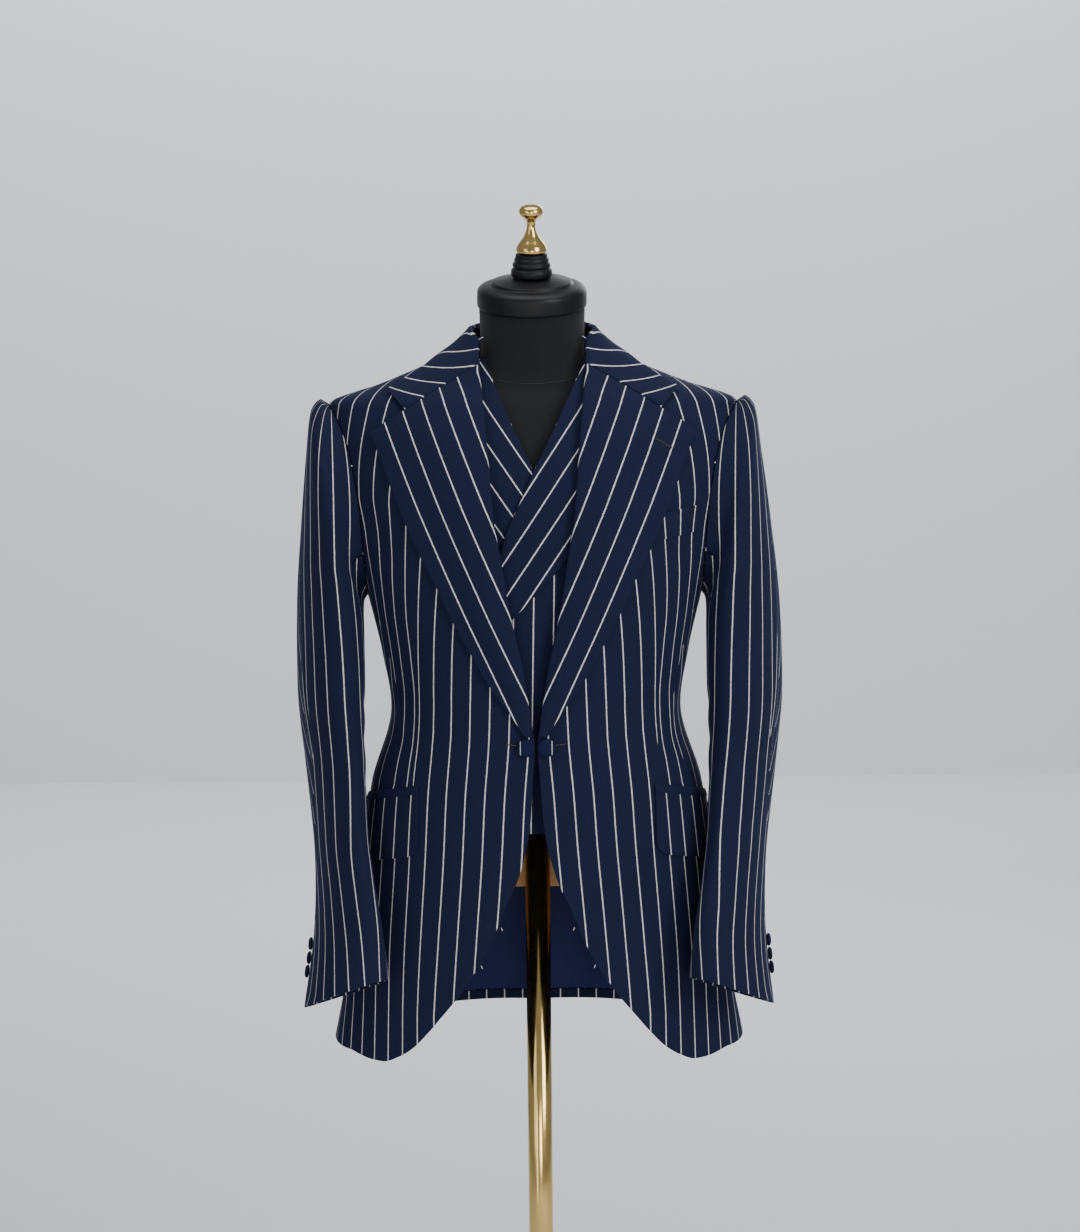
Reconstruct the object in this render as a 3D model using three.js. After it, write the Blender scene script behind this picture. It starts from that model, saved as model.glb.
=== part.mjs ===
// A chalk-striped suit jacket over a crossed shawl-collar waistcoat, on a dress form with a pole stand.
// Millimetres, +Z up, the wearer faces -Y, and the pole's axis is x = y = 0 with the floor at z = 0.
// "left" and "right" are those of a viewer who stands in front of the garment.
import * as THREE from "three";

// ---------------------------------------------------------------- driving sizes
const CLOTH = 1.6; // wall of a jacket or waistcoat panel
const LAPEL_CLOTH = 2; // wall of the lapels and the collar, which are two layers
const LINING = 1; // wall of the back lining
const SEAM_GAP = 0.4; // air between two panels at a seam
const LAY_GAP = 0.5; // air between a panel and what lies on it

const BUTTON_HEIGHT = 1040; // where the two fronts meet
const NECK_SEAM = 1462; // top of the jacket's body panels
const SHOULDER_END = 1398; // height of the outer end of the shoulder seam
const BACK_HEM = 711;
const FRONT_CORNER = 743; // height where the cutaway's curve becomes the hem
const HEM_TURN = 76; // angle of the front's side seam at the hem, degrees from centre front

const NECK_TILT = Math.tan((12 * Math.PI) / 180); // the form's neck plate leans forward
const NECK_TOP = 1501;

const NAVY = 0x171d38;
const LINING_NAVY = 0x1b1c45;
const KNIT = 0x25282b;
const CAP_BLACK = 0x2b2d30;
const BRASS = 0xc9a95a;
const WOOD = 0x7a4a1c;

// A row for each level section of the jacket's body: half its width and its reach to the front and the back.
const JACKET_SECTIONS = [
  { z: 680, halfWidth: 227, front: 113, back: 120, roundness: 2.05 },
  { z: 780, halfWidth: 208, front: 112, back: 114, roundness: 2.05 },
  { z: 880, halfWidth: 195, front: 113, back: 109, roundness: 2.1 },
  { z: 983, halfWidth: 181, front: 114, back: 102, roundness: 2.2 },
  { z: 1069, halfWidth: 158, front: 113, back: 92, roundness: 2.3 },
  { z: 1130, halfWidth: 167, front: 119, back: 101, roundness: 2.3 },
  { z: 1190, halfWidth: 181, front: 124, back: 111, roundness: 2.3 },
  { z: 1290, halfWidth: 207, front: 120, back: 116, roundness: 2.35 },
  { z: 1350, halfWidth: 216, front: 107, back: 108, roundness: 2.3 },
  { z: 1398, halfWidth: 220, front: 88, back: 94, roundness: 2.1 },
  { z: 1420, halfWidth: 163, front: 73, back: 84, roundness: 2 },
  { z: 1440, halfWidth: 115, front: 61, back: 76, roundness: 2 },
  { z: 1462, halfWidth: 76, front: 46, back: 67, roundness: 2 },
  { z: 1474, halfWidth: 66, front: 42, back: 64, roundness: 2 },
  { z: 1490, halfWidth: 61, front: 40, back: 61, roundness: 2 },
];
const WAISTCOAT_SECTIONS = [
  { z: 940, halfWidth: 168, front: 103, back: 97, roundness: 2.2 },
  { z: 1069, halfWidth: 148, front: 103, back: 83, roundness: 2.3 },
  { z: 1190, halfWidth: 171, front: 114, back: 102, roundness: 2.3 },
  { z: 1290, halfWidth: 190, front: 110, back: 106, roundness: 2.3 },
  { z: 1350, halfWidth: 190, front: 97, back: 98, roundness: 2.2 },
  { z: 1390, halfWidth: 178, front: 82, back: 86, roundness: 2 },
  { z: 1410, halfWidth: 138, front: 71, back: 78, roundness: 2 },
  { z: 1430, halfWidth: 98, front: 62, back: 69, roundness: 2 },
  { z: 1450, halfWidth: 68, front: 57, back: 61, roundness: 2 },
];
const FORM_SECTIONS = [
  { z: 952, halfWidth: 156, front: 93, back: 87, roundness: 2.2 },
  { z: 1069, halfWidth: 138, front: 94, back: 75, roundness: 2.3 },
  { z: 1190, halfWidth: 160, front: 104, back: 93, roundness: 2.3 },
  { z: 1290, halfWidth: 180, front: 100, back: 97, roundness: 2.3 },
  { z: 1350, halfWidth: 182, front: 87, back: 89, roundness: 2.2 },
  { z: 1380, halfWidth: 158, front: 75, back: 74, roundness: 2 },
  { z: 1400, halfWidth: 132, front: 65, back: 71, roundness: 2 },
  { z: 1418, halfWidth: 86, front: 54, back: 62, roundness: 2 },
  { z: 1436, halfWidth: 60, front: 51, back: 57, roundness: 2 },
  { z: 1452, halfWidth: 56, front: 51, back: 55, roundness: 2 },
  { z: NECK_TOP, halfWidth: 57, front: 55, back: 56, roundness: 2 },
];

// Distance of the lapel's fold from the centre line.
const ROLL_LINE = [
  { z: 1040, x: 0.6 },
  { z: 1068, x: 5.3 },
  { z: 1089, x: 9.5 },
  { z: 1132, x: 17.4 },
  { z: 1189, x: 29.5 },
  { z: 1237, x: 36.8 },
  { z: 1277, x: 43.6 },
  { z: 1348, x: 49.7 },
  { z: 1419, x: 56.4 },
  { z: 1462, x: 60.6 },
];
const LAPEL_EDGE = [
  { z: 1050, x: 12 },
  { z: 1072, x: 25.4 },
  { z: 1108, x: 49.8 },
  { z: 1143, x: 68.7 },
  { z: 1176, x: 86.6 },
  { z: 1213, x: 103.4 },
  { z: 1248, x: 121.2 },
  { z: 1281, x: 135.7 },
  { z: 1316, x: 149.7 },
  { z: 1348, x: 161.6 },
  { z: 1370, x: 171.4 },
];
const CUTAWAY = [
  { z: 743, x: 104.2 },
  { z: 767, x: 85.2 },
  { z: 791, x: 69.6 },
  { z: 821, x: 52.3 },
  { z: 860, x: 36.3 },
  { z: 901, x: 18.6 },
  { z: 955, x: 6.9 },
  { z: 993, x: 4.2 },
  { z: 1040, x: 0.6 },
];
const FRONT_HEM = [
  { x: 104.2, z: 743 },
  { x: 120.6, z: 723 },
  { x: 138, z: 705 },
  { x: 152.5, z: 695.5 },
  { x: 169, z: 689 },
  { x: 184, z: 690 },
  { x: 196, z: 693 },
  { x: 212, z: 698 },
];
// Angle of the seams of the side body from centre front, in degrees.
const FRONT_SIDE_SEAM = [
  { z: 690, turn: HEM_TURN },
  { z: 983, turn: 73 },
  { z: 1069, turn: 71 },
  { z: 1214, turn: 77.9 },
];
const BACK_SIDE_SEAM = [
  { z: 690, turn: 117 },
  { z: 930, turn: 118 },
  { z: 1069, turn: 116 },
  { z: 1230, turn: 105.6 },
];
const GORGE = { x: 58.2, z: 1438 }; // where the gorge seam meets the fold
const NOTCH = { x: 135, z: 1393 };
const LAPEL_TIP = { x: 171.4, z: 1370 };
const COLLAR_TIP = { x: 154, z: 1412 };

// A row for each section of the sleeve below the armhole, from the head to the cuff. "out" and "up" point to
// the section's outermost point from its centre, "depth" to its foremost; turnIn brings that one inwards.
const SLEEVE_SECTIONS = [
  { along: 0.03, x: 208, y: 1, z: 1295, out: 23, up: 109.5, depth: 67, turnIn: 0, rise: 0 },
  { along: 0.08, x: 213, y: 0, z: 1286, out: 27, up: 105, depth: 72, turnIn: 0, rise: 0 },
  { along: 0.16, x: 216.5, y: -1, z: 1256, out: 30.1, up: 84, depth: 75, turnIn: 4, rise: 2 },
  { along: 0.25, x: 219.5, y: -2, z: 1212, out: 32.4, up: 62, depth: 75, turnIn: 10, rise: 4 },
  { along: 0.36, x: 222.7, y: -3, z: 1150, out: 33.7, up: 38, depth: 74, turnIn: 16, rise: 6 },
  { along: 0.48, x: 223.5, y: -6, z: 1078, out: 32.4, up: 18, depth: 70, turnIn: 20, rise: 8 },
  { along: 0.61, x: 219, y: -16, z: 1000, out: 26.3, up: 8, depth: 65, turnIn: 23, rise: 12 },
  { along: 0.72, x: 213.5, y: -38, z: 932, out: 22.8, up: 4, depth: 60, turnIn: 24, rise: 16 },
  { along: 0.81, x: 209, y: -60, z: 878, out: 21.8, up: 0, depth: 57, turnIn: 30, rise: 18 },
  { along: 0.9, x: 206, y: -80, z: 824, out: 25.6, up: 0, depth: 55, turnIn: 39, rise: 20 },
  { along: 1, x: 207, y: -94, z: 769, out: 35, up: 0, depth: 54, turnIn: 49, rise: 22 },
];
// How much wider the right sleeve's cloth stands than the left's, all of it on its outer side.
const RIGHT_SLEEVE_SWELL = [
  { along: 0, width: 0 },
  { along: 0.1, width: 0 },
  { along: 0.25, width: 4 },
  { along: 0.42, width: 9 },
  { along: 0.6, width: 11 },
  { along: 0.76, width: 8 },
  { along: 1, width: 1 },
];
const ARMHOLE = { z: 1294, rise: 104, front: 62, back: 66 };
// Angles of a sleeve's two seams round its sections, from the outermost point towards the front.
const SLEEVE_SEAMS = [
  { along: 0, hind: -76, fore: 122 },
  { along: 0.1, hind: -52, fore: 132 },
  { along: 0.25, hind: -12, fore: 158 },
  { along: 0.4, hind: 10, fore: 178 },
  { along: 0.55, hind: 8, fore: 176 },
  { along: 0.68, hind: -14, fore: 158 },
  { along: 0.82, hind: -38, fore: 140 },
  { along: 1, hind: -50, fore: 126 },
];
const ARMHOLE_FRONT_SEAM = 140;
const ARMHOLE_BACK_SEAM = 232;

const WAISTCOAT_ARMHOLE = { z: 1288, rise: 108, front: 70, back: 72 };
const WAISTCOAT_TOP = 1446;
const WAISTCOAT_HEM = 943;
const WAISTCOAT_SEAM = 90;
const UNDERLAP = 5.4; // how much deeper the lower front lies where the upper one crosses it
// Front edge and neckline of a waistcoat front; a negative x is past the centre line.
const WAISTCOAT_EDGE = [
  { z: 943, x: -45 },
  { z: 1150, x: -45 },
  { z: 1238, x: -37.2 },
  { z: 1315, x: -7 },
  { z: 1380, x: 25 },
  { z: 1446, x: 56 },
];
// Outer edge of the shawl collar, from the crossing up to the shoulder; its inner edge is the neckline.
const SHAWL_EDGE = [
  { z: 1153, x: -44 },
  { z: 1174, x: -24 },
  { z: 1253, x: 45 },
  { z: 1320, x: 78 },
  { z: 1385, x: 93 },
  { z: 1436, x: 84 },
];

// ---------------------------------------------------------------- numbers and curves
const radians = (degrees) => (degrees * Math.PI) / 180;
const degrees = (angle) => (angle * 180) / Math.PI;
const mix = (a, b, t) => a + (b - a) * t;
const clamp01 = (t) => Math.min(1, Math.max(0, t));
const ease = (from, to, value) => {
  const t = clamp01((value - from) / (to - from));
  return t * t * (3 - 2 * t);
};

// A smooth curve through one column of a table, with no overshoot between its rows.
function curve(rows, key, column) {
  const slope = [];
  for (let i = 0; i + 1 < rows.length; i++)
    slope.push((rows[i + 1][column] - rows[i][column]) / (rows[i + 1][key] - rows[i][key]));
  const tangent = rows.map((row, i) => {
    if (i === 0) return slope[0];
    if (i === rows.length - 1) return slope[i - 1];
    if (slope[i - 1] * slope[i] <= 0) return 0;
    return (2 * slope[i - 1] * slope[i]) / (slope[i - 1] + slope[i]);
  });
  return (at) => {
    let i = 0;
    while (i < rows.length - 2 && at > rows[i + 1][key]) i++;
    const width = rows[i + 1][key] - rows[i][key];
    const t = clamp01((at - rows[i][key]) / width);
    const t2 = t * t;
    const t3 = t2 * t;
    return (
      (2 * t3 - 3 * t2 + 1) * rows[i][column] +
      (t3 - 2 * t2 + t) * width * tangent[i] +
      (3 * t2 - 2 * t3) * rows[i + 1][column] +
      (t3 - t2) * width * tangent[i + 1]
    );
  };
}

// The functions of every column of a table.
function curves(rows, key) {
  const made = {};
  for (const column of Object.keys(rows[0])) if (column !== key) made[column] = curve(rows, key, column);
  return made;
}

// Heights at equal steps of v: each stage climbs "to" a height in so many rows, closer together at its top
// where its bias is over 1.
function ladder(from, stages) {
  const total = stages.reduce((sum, stage) => sum + stage.rows, 0);
  return (v) => {
    let low = from;
    let left = v * total;
    for (const stage of stages) {
      if (left <= stage.rows) return mix(low, stage.to, 1 - (1 - left / stage.rows) ** stage.bias);
      left -= stage.rows;
      low = stage.to;
    }
    return low;
  };
}

// A patch blended from its four edges; each edge gives [a, b] for a share of its length.
function coons(bottom, top, left, right) {
  return (u, v) =>
    [0, 1].map(
      (k) =>
        mix(bottom(u)[k], top(u)[k], v) +
        mix(left(v)[k], right(v)[k], u) -
        mix(mix(bottom(0)[k], bottom(1)[k], u), mix(top(0)[k], top(1)[k], u), v),
    );
}

// ---------------------------------------------------------------- body surfaces
// A body made of level superellipse sections. "turn" is the angle from centre front towards the right.
class Body {
  constructor(sections, fullness = () => 0) {
    this.columns = curves(sections, "z");
    this.fullness = fullness;
  }

  reach(turn, z) {
    const angle = radians(turn);
    const depth = Math.cos(angle) > 0 ? this.columns.front(z) : this.columns.back(z);
    const power = this.columns.roundness(z);
    const across = Math.abs(Math.sin(angle) / this.columns.halfWidth(z)) ** power;
    const along = Math.abs(Math.cos(angle) / depth) ** power;
    return (across + along) ** (-1 / power) + this.fullness(turn, z);
  }

  point(turn, z) {
    const reach = this.reach(turn, z);
    const angle = radians(turn);
    return new THREE.Vector3(reach * Math.sin(angle), -reach * Math.cos(angle), z);
  }

  // The angle at which the front half of a section has this x.
  turnAtX(x, z) {
    let low = -90;
    let high = 90;
    for (let i = 0; i < 30; i++) {
      const middle = (low + high) / 2;
      if (this.point(middle, z).x < x) low = middle;
      else high = middle;
    }
    return (low + high) / 2;
  }

  // The angle at which the side half of a section has this y.
  turnAtY(y, z) {
    let low = 0;
    let high = 180;
    for (let i = 0; i < 30; i++) {
      const middle = (low + high) / 2;
      if (this.point(middle, z).y < y) low = middle;
      else high = middle;
    }
    return (low + high) / 2;
  }

  // A length of cloth round the body as an angle.
  arc(length, turn, z) {
    return degrees(length / this.reach(turn, z));
  }
}

// The skirt of the jacket hangs in shallow flutes, deepest at the hem.
function skirtFlutes(turn, z) {
  const depth = 3.2 * (1 - ease(700, 980, z));
  const fromFront = turn > 180 ? 360 - turn : Math.abs(turn);
  return depth * Math.sin(radians(fromFront * 5 + 40)) * ease(20, 60, fromFront);
}

const jacketBody = new Body(JACKET_SECTIONS, skirtFlutes);
const waistcoatBody = new Body(WAISTCOAT_SECTIONS);
const formBody = new Body(FORM_SECTIONS);

// [turn, z] of the armhole: 0 degrees is its top, 90 its front, 180 the underarm.
function armhole(body, hole, angle) {
  const z = hole.z + hole.rise * Math.cos(radians(angle));
  const sine = Math.sin(radians(angle));
  const y = -(sine > 0 ? hole.front : hole.back) * sine;
  return [body.turnAtY(y, z), z];
}

// Angle on the armhole's front or back arc at a height.
function armholeAngle(hole, z) {
  return degrees(Math.acos(Math.max(-1, Math.min(1, (z - hole.z) / hole.rise))));
}

// ---------------------------------------------------------------- solids
const suit = new THREE.Group();
suit.name = "suit_on_dress_form";

const FINISH = {
  cloth: { color: NAVY, roughness: 0.85, metalness: 0 },
  lining: { color: LINING_NAVY, roughness: 0.5, metalness: 0 },
  knit: { color: KNIT, roughness: 0.95, metalness: 0 },
  cap: { color: CAP_BLACK, roughness: 0.6, metalness: 0 },
  brass: { color: BRASS, roughness: 0.25, metalness: 1 },
  wood: { color: WOOD, roughness: 0.4, metalness: 0 },
};

function add(name, finish, points, triangles) {
  const geometry = new THREE.BufferGeometry();
  const flat = [];
  for (const p of points) flat.push(p.x, p.y, p.z);
  geometry.setAttribute("position", new THREE.Float32BufferAttribute(flat, 3));
  geometry.setIndex(triangles.flat());
  if (volume(points, triangles) < 0) {
    geometry.setIndex(triangles.map(([a, b, c]) => [a, c, b]).flat());
  }
  geometry.computeVertexNormals();
  const mesh = new THREE.Mesh(geometry, new THREE.MeshStandardMaterial(FINISH[finish]));
  mesh.name = name;
  suit.add(mesh);
}

function volume(points, triangles) {
  let sum = 0;
  for (const [a, b, c] of triangles) {
    const crossed = new THREE.Vector3().crossVectors(points[b], points[c]);
    sum += points[a].dot(crossed);
  }
  return sum / 6;
}

// Unit normals of a grid of places, all to the side that faces away from the given inside points.
const NORMAL_STEP = 0.004; // share of a patch over which its slope is measured
function gridNormals(grid, place, insideOf) {
  const columns = grid.length - 1;
  const rows = grid[0].length - 1;
  const normals = grid.map((line, i) =>
    line.map((point, j) => {
      const u = i / columns;
      const v = j / rows;
      const du = place(Math.min(1, u + NORMAL_STEP), v).sub(place(Math.max(0, u - NORMAL_STEP), v));
      const dv = place(u, Math.min(1, v + NORMAL_STEP)).sub(place(u, Math.max(0, v - NORMAL_STEP)));
      return du.cross(dv).normalize();
    }),
  );
  let facing = 0;
  grid.forEach((line, i) =>
    line.forEach((point, j) => {
      facing += Math.sign(normals[i][j].dot(point.clone().sub(insideOf(point))));
    }),
  );
  if (facing < 0) normals.forEach((line) => line.forEach((normal) => normal.negate()));
  return normals;
}

const bodyAxis = (point) => new THREE.Vector3(0, 0, point.z);

// A wall of cloth: a grid of places (u, v), thickened from the lower to the upper height above its surface.
function wall(name, finish, shape) {
  const { columns, rows, place, lower = () => -CLOTH, thick = CLOTH, insideOf = bodyAxis } = shape;
  const grid = [];
  for (let i = 0; i <= columns; i++) {
    grid.push([]);
    for (let j = 0; j <= rows; j++) grid[i].push(place(i / columns, j / rows));
  }
  const normals = gridNormals(grid, place, insideOf);
  const points = [];
  for (const layer of [0, 1])
    for (let i = 0; i <= columns; i++)
      for (let j = 0; j <= rows; j++) {
        const height = lower(i / columns, j / rows) + layer * thick;
        points.push(grid[i][j].clone().addScaledVector(normals[i][j], height));
      }
  const layerSize = (columns + 1) * (rows + 1);
  const at = (layer, i, j) => layer * layerSize + i * (rows + 1) + j;
  const triangles = [];
  const quad = (a, b, c, d) => triangles.push([a, b, c], [a, c, d]);
  for (let i = 0; i < columns; i++)
    for (let j = 0; j < rows; j++) {
      quad(at(1, i, j), at(1, i + 1, j), at(1, i + 1, j + 1), at(1, i, j + 1));
      quad(at(0, i, j), at(0, i, j + 1), at(0, i + 1, j + 1), at(0, i + 1, j));
    }
  for (let i = 0; i < columns; i++) {
    quad(at(0, i, 0), at(0, i + 1, 0), at(1, i + 1, 0), at(1, i, 0));
    quad(at(1, i, rows), at(1, i + 1, rows), at(0, i + 1, rows), at(0, i, rows));
  }
  for (let j = 0; j < rows; j++) {
    quad(at(1, 0, j), at(1, 0, j + 1), at(0, 0, j + 1), at(0, 0, j));
    quad(at(0, columns, j), at(0, columns, j + 1), at(1, columns, j + 1), at(1, columns, j));
  }
  add(name, finish, points, triangles);
}

// A solid stacked from closed rings of equal length, capped at both ends.
function stack(name, finish, rings) {
  const count = rings[0].length;
  const points = rings.flat();
  const triangles = [];
  for (let j = 0; j + 1 < rings.length; j++)
    for (let i = 0; i < count; i++) {
      const next = (i + 1) % count;
      triangles.push([j * count + i, j * count + next, (j + 1) * count + next]);
      triangles.push([j * count + i, (j + 1) * count + next, (j + 1) * count + i]);
    }
  for (const [ring, last] of [
    [rings[0], false],
    [rings[rings.length - 1], true],
  ]) {
    const centre = new THREE.Vector3();
    for (const point of ring) centre.addScaledVector(point, 1 / count);
    points.push(centre);
    const hub = points.length - 1;
    const start = last ? (rings.length - 1) * count : 0;
    for (let i = 0; i < count; i++) {
      const next = (i + 1) % count;
      triangles.push(last ? [start + i, start + next, hub] : [start + next, start + i, hub]);
    }
  }
  add(name, finish, points, triangles);
}

// Rings of a turned solid: profile rows { radius, height } about a local axis that "frame" puts in place.
function turnedRings(profile, segments, frame) {
  return profile.map(({ radius, height }) => {
    const ring = [];
    for (let i = 0; i < segments; i++) {
      const angle = (i / segments) * 2 * Math.PI;
      ring.push(frame(new THREE.Vector3(radius * Math.cos(angle), radius * Math.sin(angle), height)));
    }
    return ring;
  });
}

const SIDES = [
  { name: "left", sign: -1 },
  { name: "right", sign: 1 },
];
const mirrored = (point, sign) => {
  if (sign < 0) point.x = -point.x;
  return point;
};

// ---------------------------------------------------------------- jacket panels
const rollX = curve(ROLL_LINE, "z", "x");
const cutawayX = curve(CUTAWAY, "z", "x");
const frontHemZ = curve(FRONT_HEM, "x", "z");
const frontSeamTurn = curve(FRONT_SIDE_SEAM, "z", "turn");
const backSeamTurn = curve(BACK_SIDE_SEAM, "z", "turn");
const frontHemEndX = jacketBody.point(HEM_TURN, 697).x;
const frontHemEndZ = frontHemZ(frontHemEndX);
const armholeFrontZ = ARMHOLE.z + ARMHOLE.rise * Math.cos(radians(ARMHOLE_FRONT_SEAM));
const armholeBackZ = ARMHOLE.z + ARMHOLE.rise * Math.cos(radians(ARMHOLE_BACK_SEAM));
// Rows of the jacket's panels between the heights where their outline turns; panels that meet share them.
const SKIRT_ROWS = 8;
const WAIST_ROWS = 3;
const ARMHOLE_ROWS = 5;
const SHOULDER_ROWS = 5;
const ARMHOLE_BIAS = 1.4;
const SIDE_ROWS = SKIRT_ROWS + WAIST_ROWS;
const FRONT_ROWS = SIDE_ROWS + ARMHOLE_ROWS + SHOULDER_ROWS;
const SIDE_HEM_RISE = 24; // how far the hem rises from the front's side seam to the vent

const frontEdgeTurn = (z) => {
  const x = z < BUTTON_HEIGHT ? cutawayX(z) : rollX(z);
  return jacketBody.turnAtX(x + SEAM_GAP / 2, z);
};

// The front's far boundary: side seam, then armhole, then the shoulder seam.
function frontFarTurn(z) {
  const gap = jacketBody.arc(SEAM_GAP / 2, 90, z);
  if (z <= armholeFrontZ) return frontSeamTurn(z) - gap;
  if (z >= SHOULDER_END) return 90 - gap;
  return armhole(jacketBody, ARMHOLE, armholeAngle(ARMHOLE, z))[0] - gap;
}

function backFarTurn(z) {
  const gap = jacketBody.arc(SEAM_GAP / 2, 90, z);
  if (z <= armholeBackZ) return backSeamTurn(z) + gap;
  if (z >= SHOULDER_END) return 90 + gap;
  return armhole(jacketBody, ARMHOLE, 360 - armholeAngle(ARMHOLE, z))[0] + gap;
}

const frontSkirt = coons(
  (u) => {
    const x = mix(FRONT_HEM[0].x, frontHemEndX, u);
    const z = frontHemZ(x);
    return [jacketBody.turnAtX(x, z), z];
  },
  (u) => [mix(frontEdgeTurn(BUTTON_HEIGHT), frontFarTurn(BUTTON_HEIGHT), u), BUTTON_HEIGHT],
  (v) => {
    const z = mix(FRONT_CORNER, BUTTON_HEIGHT, v);
    return [frontEdgeTurn(z), z];
  },
  (v) => {
    const z = mix(frontHemEndZ, BUTTON_HEIGHT, v);
    return [frontFarTurn(z), z];
  },
);

const frontSkirtShare = SKIRT_ROWS / FRONT_ROWS;
const frontHeight = ladder(BUTTON_HEIGHT, [
  { to: armholeFrontZ, rows: WAIST_ROWS, bias: 1 },
  { to: SHOULDER_END, rows: ARMHOLE_ROWS, bias: ARMHOLE_BIAS },
  { to: NECK_SEAM, rows: SHOULDER_ROWS, bias: 1 },
]);
// [turn, z] of a jacket front: u runs from the front edge to the side, v from the hem to the neck.
function frontPlace(u, v) {
  if (v < frontSkirtShare) return frontSkirt(u, v / frontSkirtShare);
  const z = frontHeight((v - frontSkirtShare) / (1 - frontSkirtShare));
  return [mix(frontEdgeTurn(z), frontFarTurn(z), u), z];
}

function sideHem(u) {
  const turn = mix(frontSeamTurn(frontHemEndZ), backSeamTurn(BACK_HEM), u);
  return [turn, frontHemEndZ + SIDE_HEM_RISE * ease(0, 1, u)];
}
const sideFrontHeight = ladder(frontHemEndZ, [
  { to: BUTTON_HEIGHT, rows: SKIRT_ROWS, bias: 1 },
  { to: armholeFrontZ, rows: WAIST_ROWS, bias: 1 },
]);
const sideGap = (z) => jacketBody.arc(SEAM_GAP / 2, 90, z);
const sidePlace = coons(
  (u) => {
    const [turn, z] = sideHem(u);
    return [turn + mix(1, -1, u) * sideGap(z), z];
  },
  (u) => {
    const [turn, z] = armhole(jacketBody, ARMHOLE, mix(ARMHOLE_FRONT_SEAM, ARMHOLE_BACK_SEAM, u));
    return [turn + mix(1, -1, u) * sideGap(z), z];
  },
  (v) => {
    const z = sideFrontHeight(v);
    return [frontSeamTurn(z) + sideGap(z), z];
  },
  (v) => {
    const z = mix(sideHem(1)[1], armholeBackZ, v);
    return [backSeamTurn(z) - sideGap(z), z];
  },
);

const backHeight = ladder(BACK_HEM, [
  { to: armholeBackZ, rows: SIDE_ROWS, bias: 1 },
  { to: SHOULDER_END, rows: ARMHOLE_ROWS, bias: ARMHOLE_BIAS },
  { to: NECK_SEAM, rows: SHOULDER_ROWS, bias: 1 },
]);
function backPlace(u, v) {
  const z = backHeight(v);
  return [mix(180 - jacketBody.arc(SEAM_GAP / 2, 180, z), backFarTurn(z), u), z];
}

const onJacket =
  (place, sign) =>
  (u, v) => {
    const [turn, z] = place(u, v);
    return mirrored(jacketBody.point(turn, z), sign);
  };

const JACKET_PANELS = [
  { part: "front", columns: 8, rows: FRONT_ROWS, place: frontPlace },
  { part: "side", columns: 3, rows: SIDE_ROWS, place: sidePlace },
  { part: "back", columns: 6, rows: FRONT_ROWS, place: backPlace },
];
for (const side of SIDES) {
  for (const { part, columns, rows, place } of JACKET_PANELS)
    wall(`jacket_${part}_${side.name}`, "cloth", { columns, rows, place: onJacket(place, side.sign) });
}

// ---------------------------------------------------------------- lining and turned-up hem inside the back
const LINING_TOP = 1100;
const HEM_FACING = 11;
const LINING_EASE = 2.4; // how far the lining hangs inside the back
const LINING_REACH = 58; // degrees to each side of centre back
function insideBack(low, high) {
  return (u, v) => jacketBody.point(mix(180 - LINING_REACH, 180 + LINING_REACH, u), mix(low, high, v));
}
wall("jacket_back_lining", "lining", {
  columns: 12,
  rows: 7,
  place: insideBack(BACK_HEM + HEM_FACING + SEAM_GAP, LINING_TOP),
  lower: () => -CLOTH - LINING_EASE - LINING,
  thick: LINING,
});
wall("jacket_back_hem", "cloth", {
  columns: 10,
  rows: 1,
  place: insideBack(BACK_HEM, BACK_HEM + HEM_FACING),
  lower: () => -CLOTH - LINING_EASE - CLOTH,
});

// ---------------------------------------------------------------- lapels and collar
const lapelEdgeX = curve(LAPEL_EDGE, "z", "x");
const LAPEL_FOOT = 1050;
const NOTCH_SHARE = 0.625; // share of the lapel's top that is the gorge seam
function twoLegs(from, corner, to, share) {
  return (u) => {
    const [a, b, t] = u < share ? [from, corner, u / share] : [corner, to, (u - share) / (1 - share)];
    return [mix(a.x, b.x, t), mix(a.z, b.z, t)];
  };
}
const lapelPlace = coons(
  (u) => [mix(rollX(LAPEL_FOOT) + SEAM_GAP, LAPEL_EDGE[0].x, u), LAPEL_FOOT],
  twoLegs(GORGE, NOTCH, LAPEL_TIP, NOTCH_SHARE),
  (v) => {
    const z = mix(LAPEL_FOOT, GORGE.z, v);
    return [rollX(z) + SEAM_GAP * (1 - v), z];
  },
  (v) => {
    const z = mix(LAPEL_FOOT, LAPEL_TIP.z, v);
    return [lapelEdgeX(z), z];
  },
);
// Height of the lapel's underside above the front: it rolls off the fold, then lies close.
const LAPEL_ROLL = { atFold: 1.8, beyondFold: 1, swell: 2.5 };
function lapelLift(u, v) {
  const swell = LAPEL_ROLL.swell * Math.sin(Math.PI * clamp01(u / 0.7)) * ease(0, 0.2, v);
  return LAPEL_ROLL.atFold + LAPEL_ROLL.beyondFold * ease(0, 0.3, u) + swell;
}

for (const side of SIDES)
  wall(`jacket_lapel_${side.name}`, "cloth", {
    columns: 8,
    rows: 12,
    place: (u, v) => {
      const [x, z] = lapelPlace(u, v);
      return mirrored(jacketBody.point(jacketBody.turnAtX(x, z), z), side.sign);
    },
    lower: lapelLift,
    thick: LAPEL_CLOTH,
  });

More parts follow.
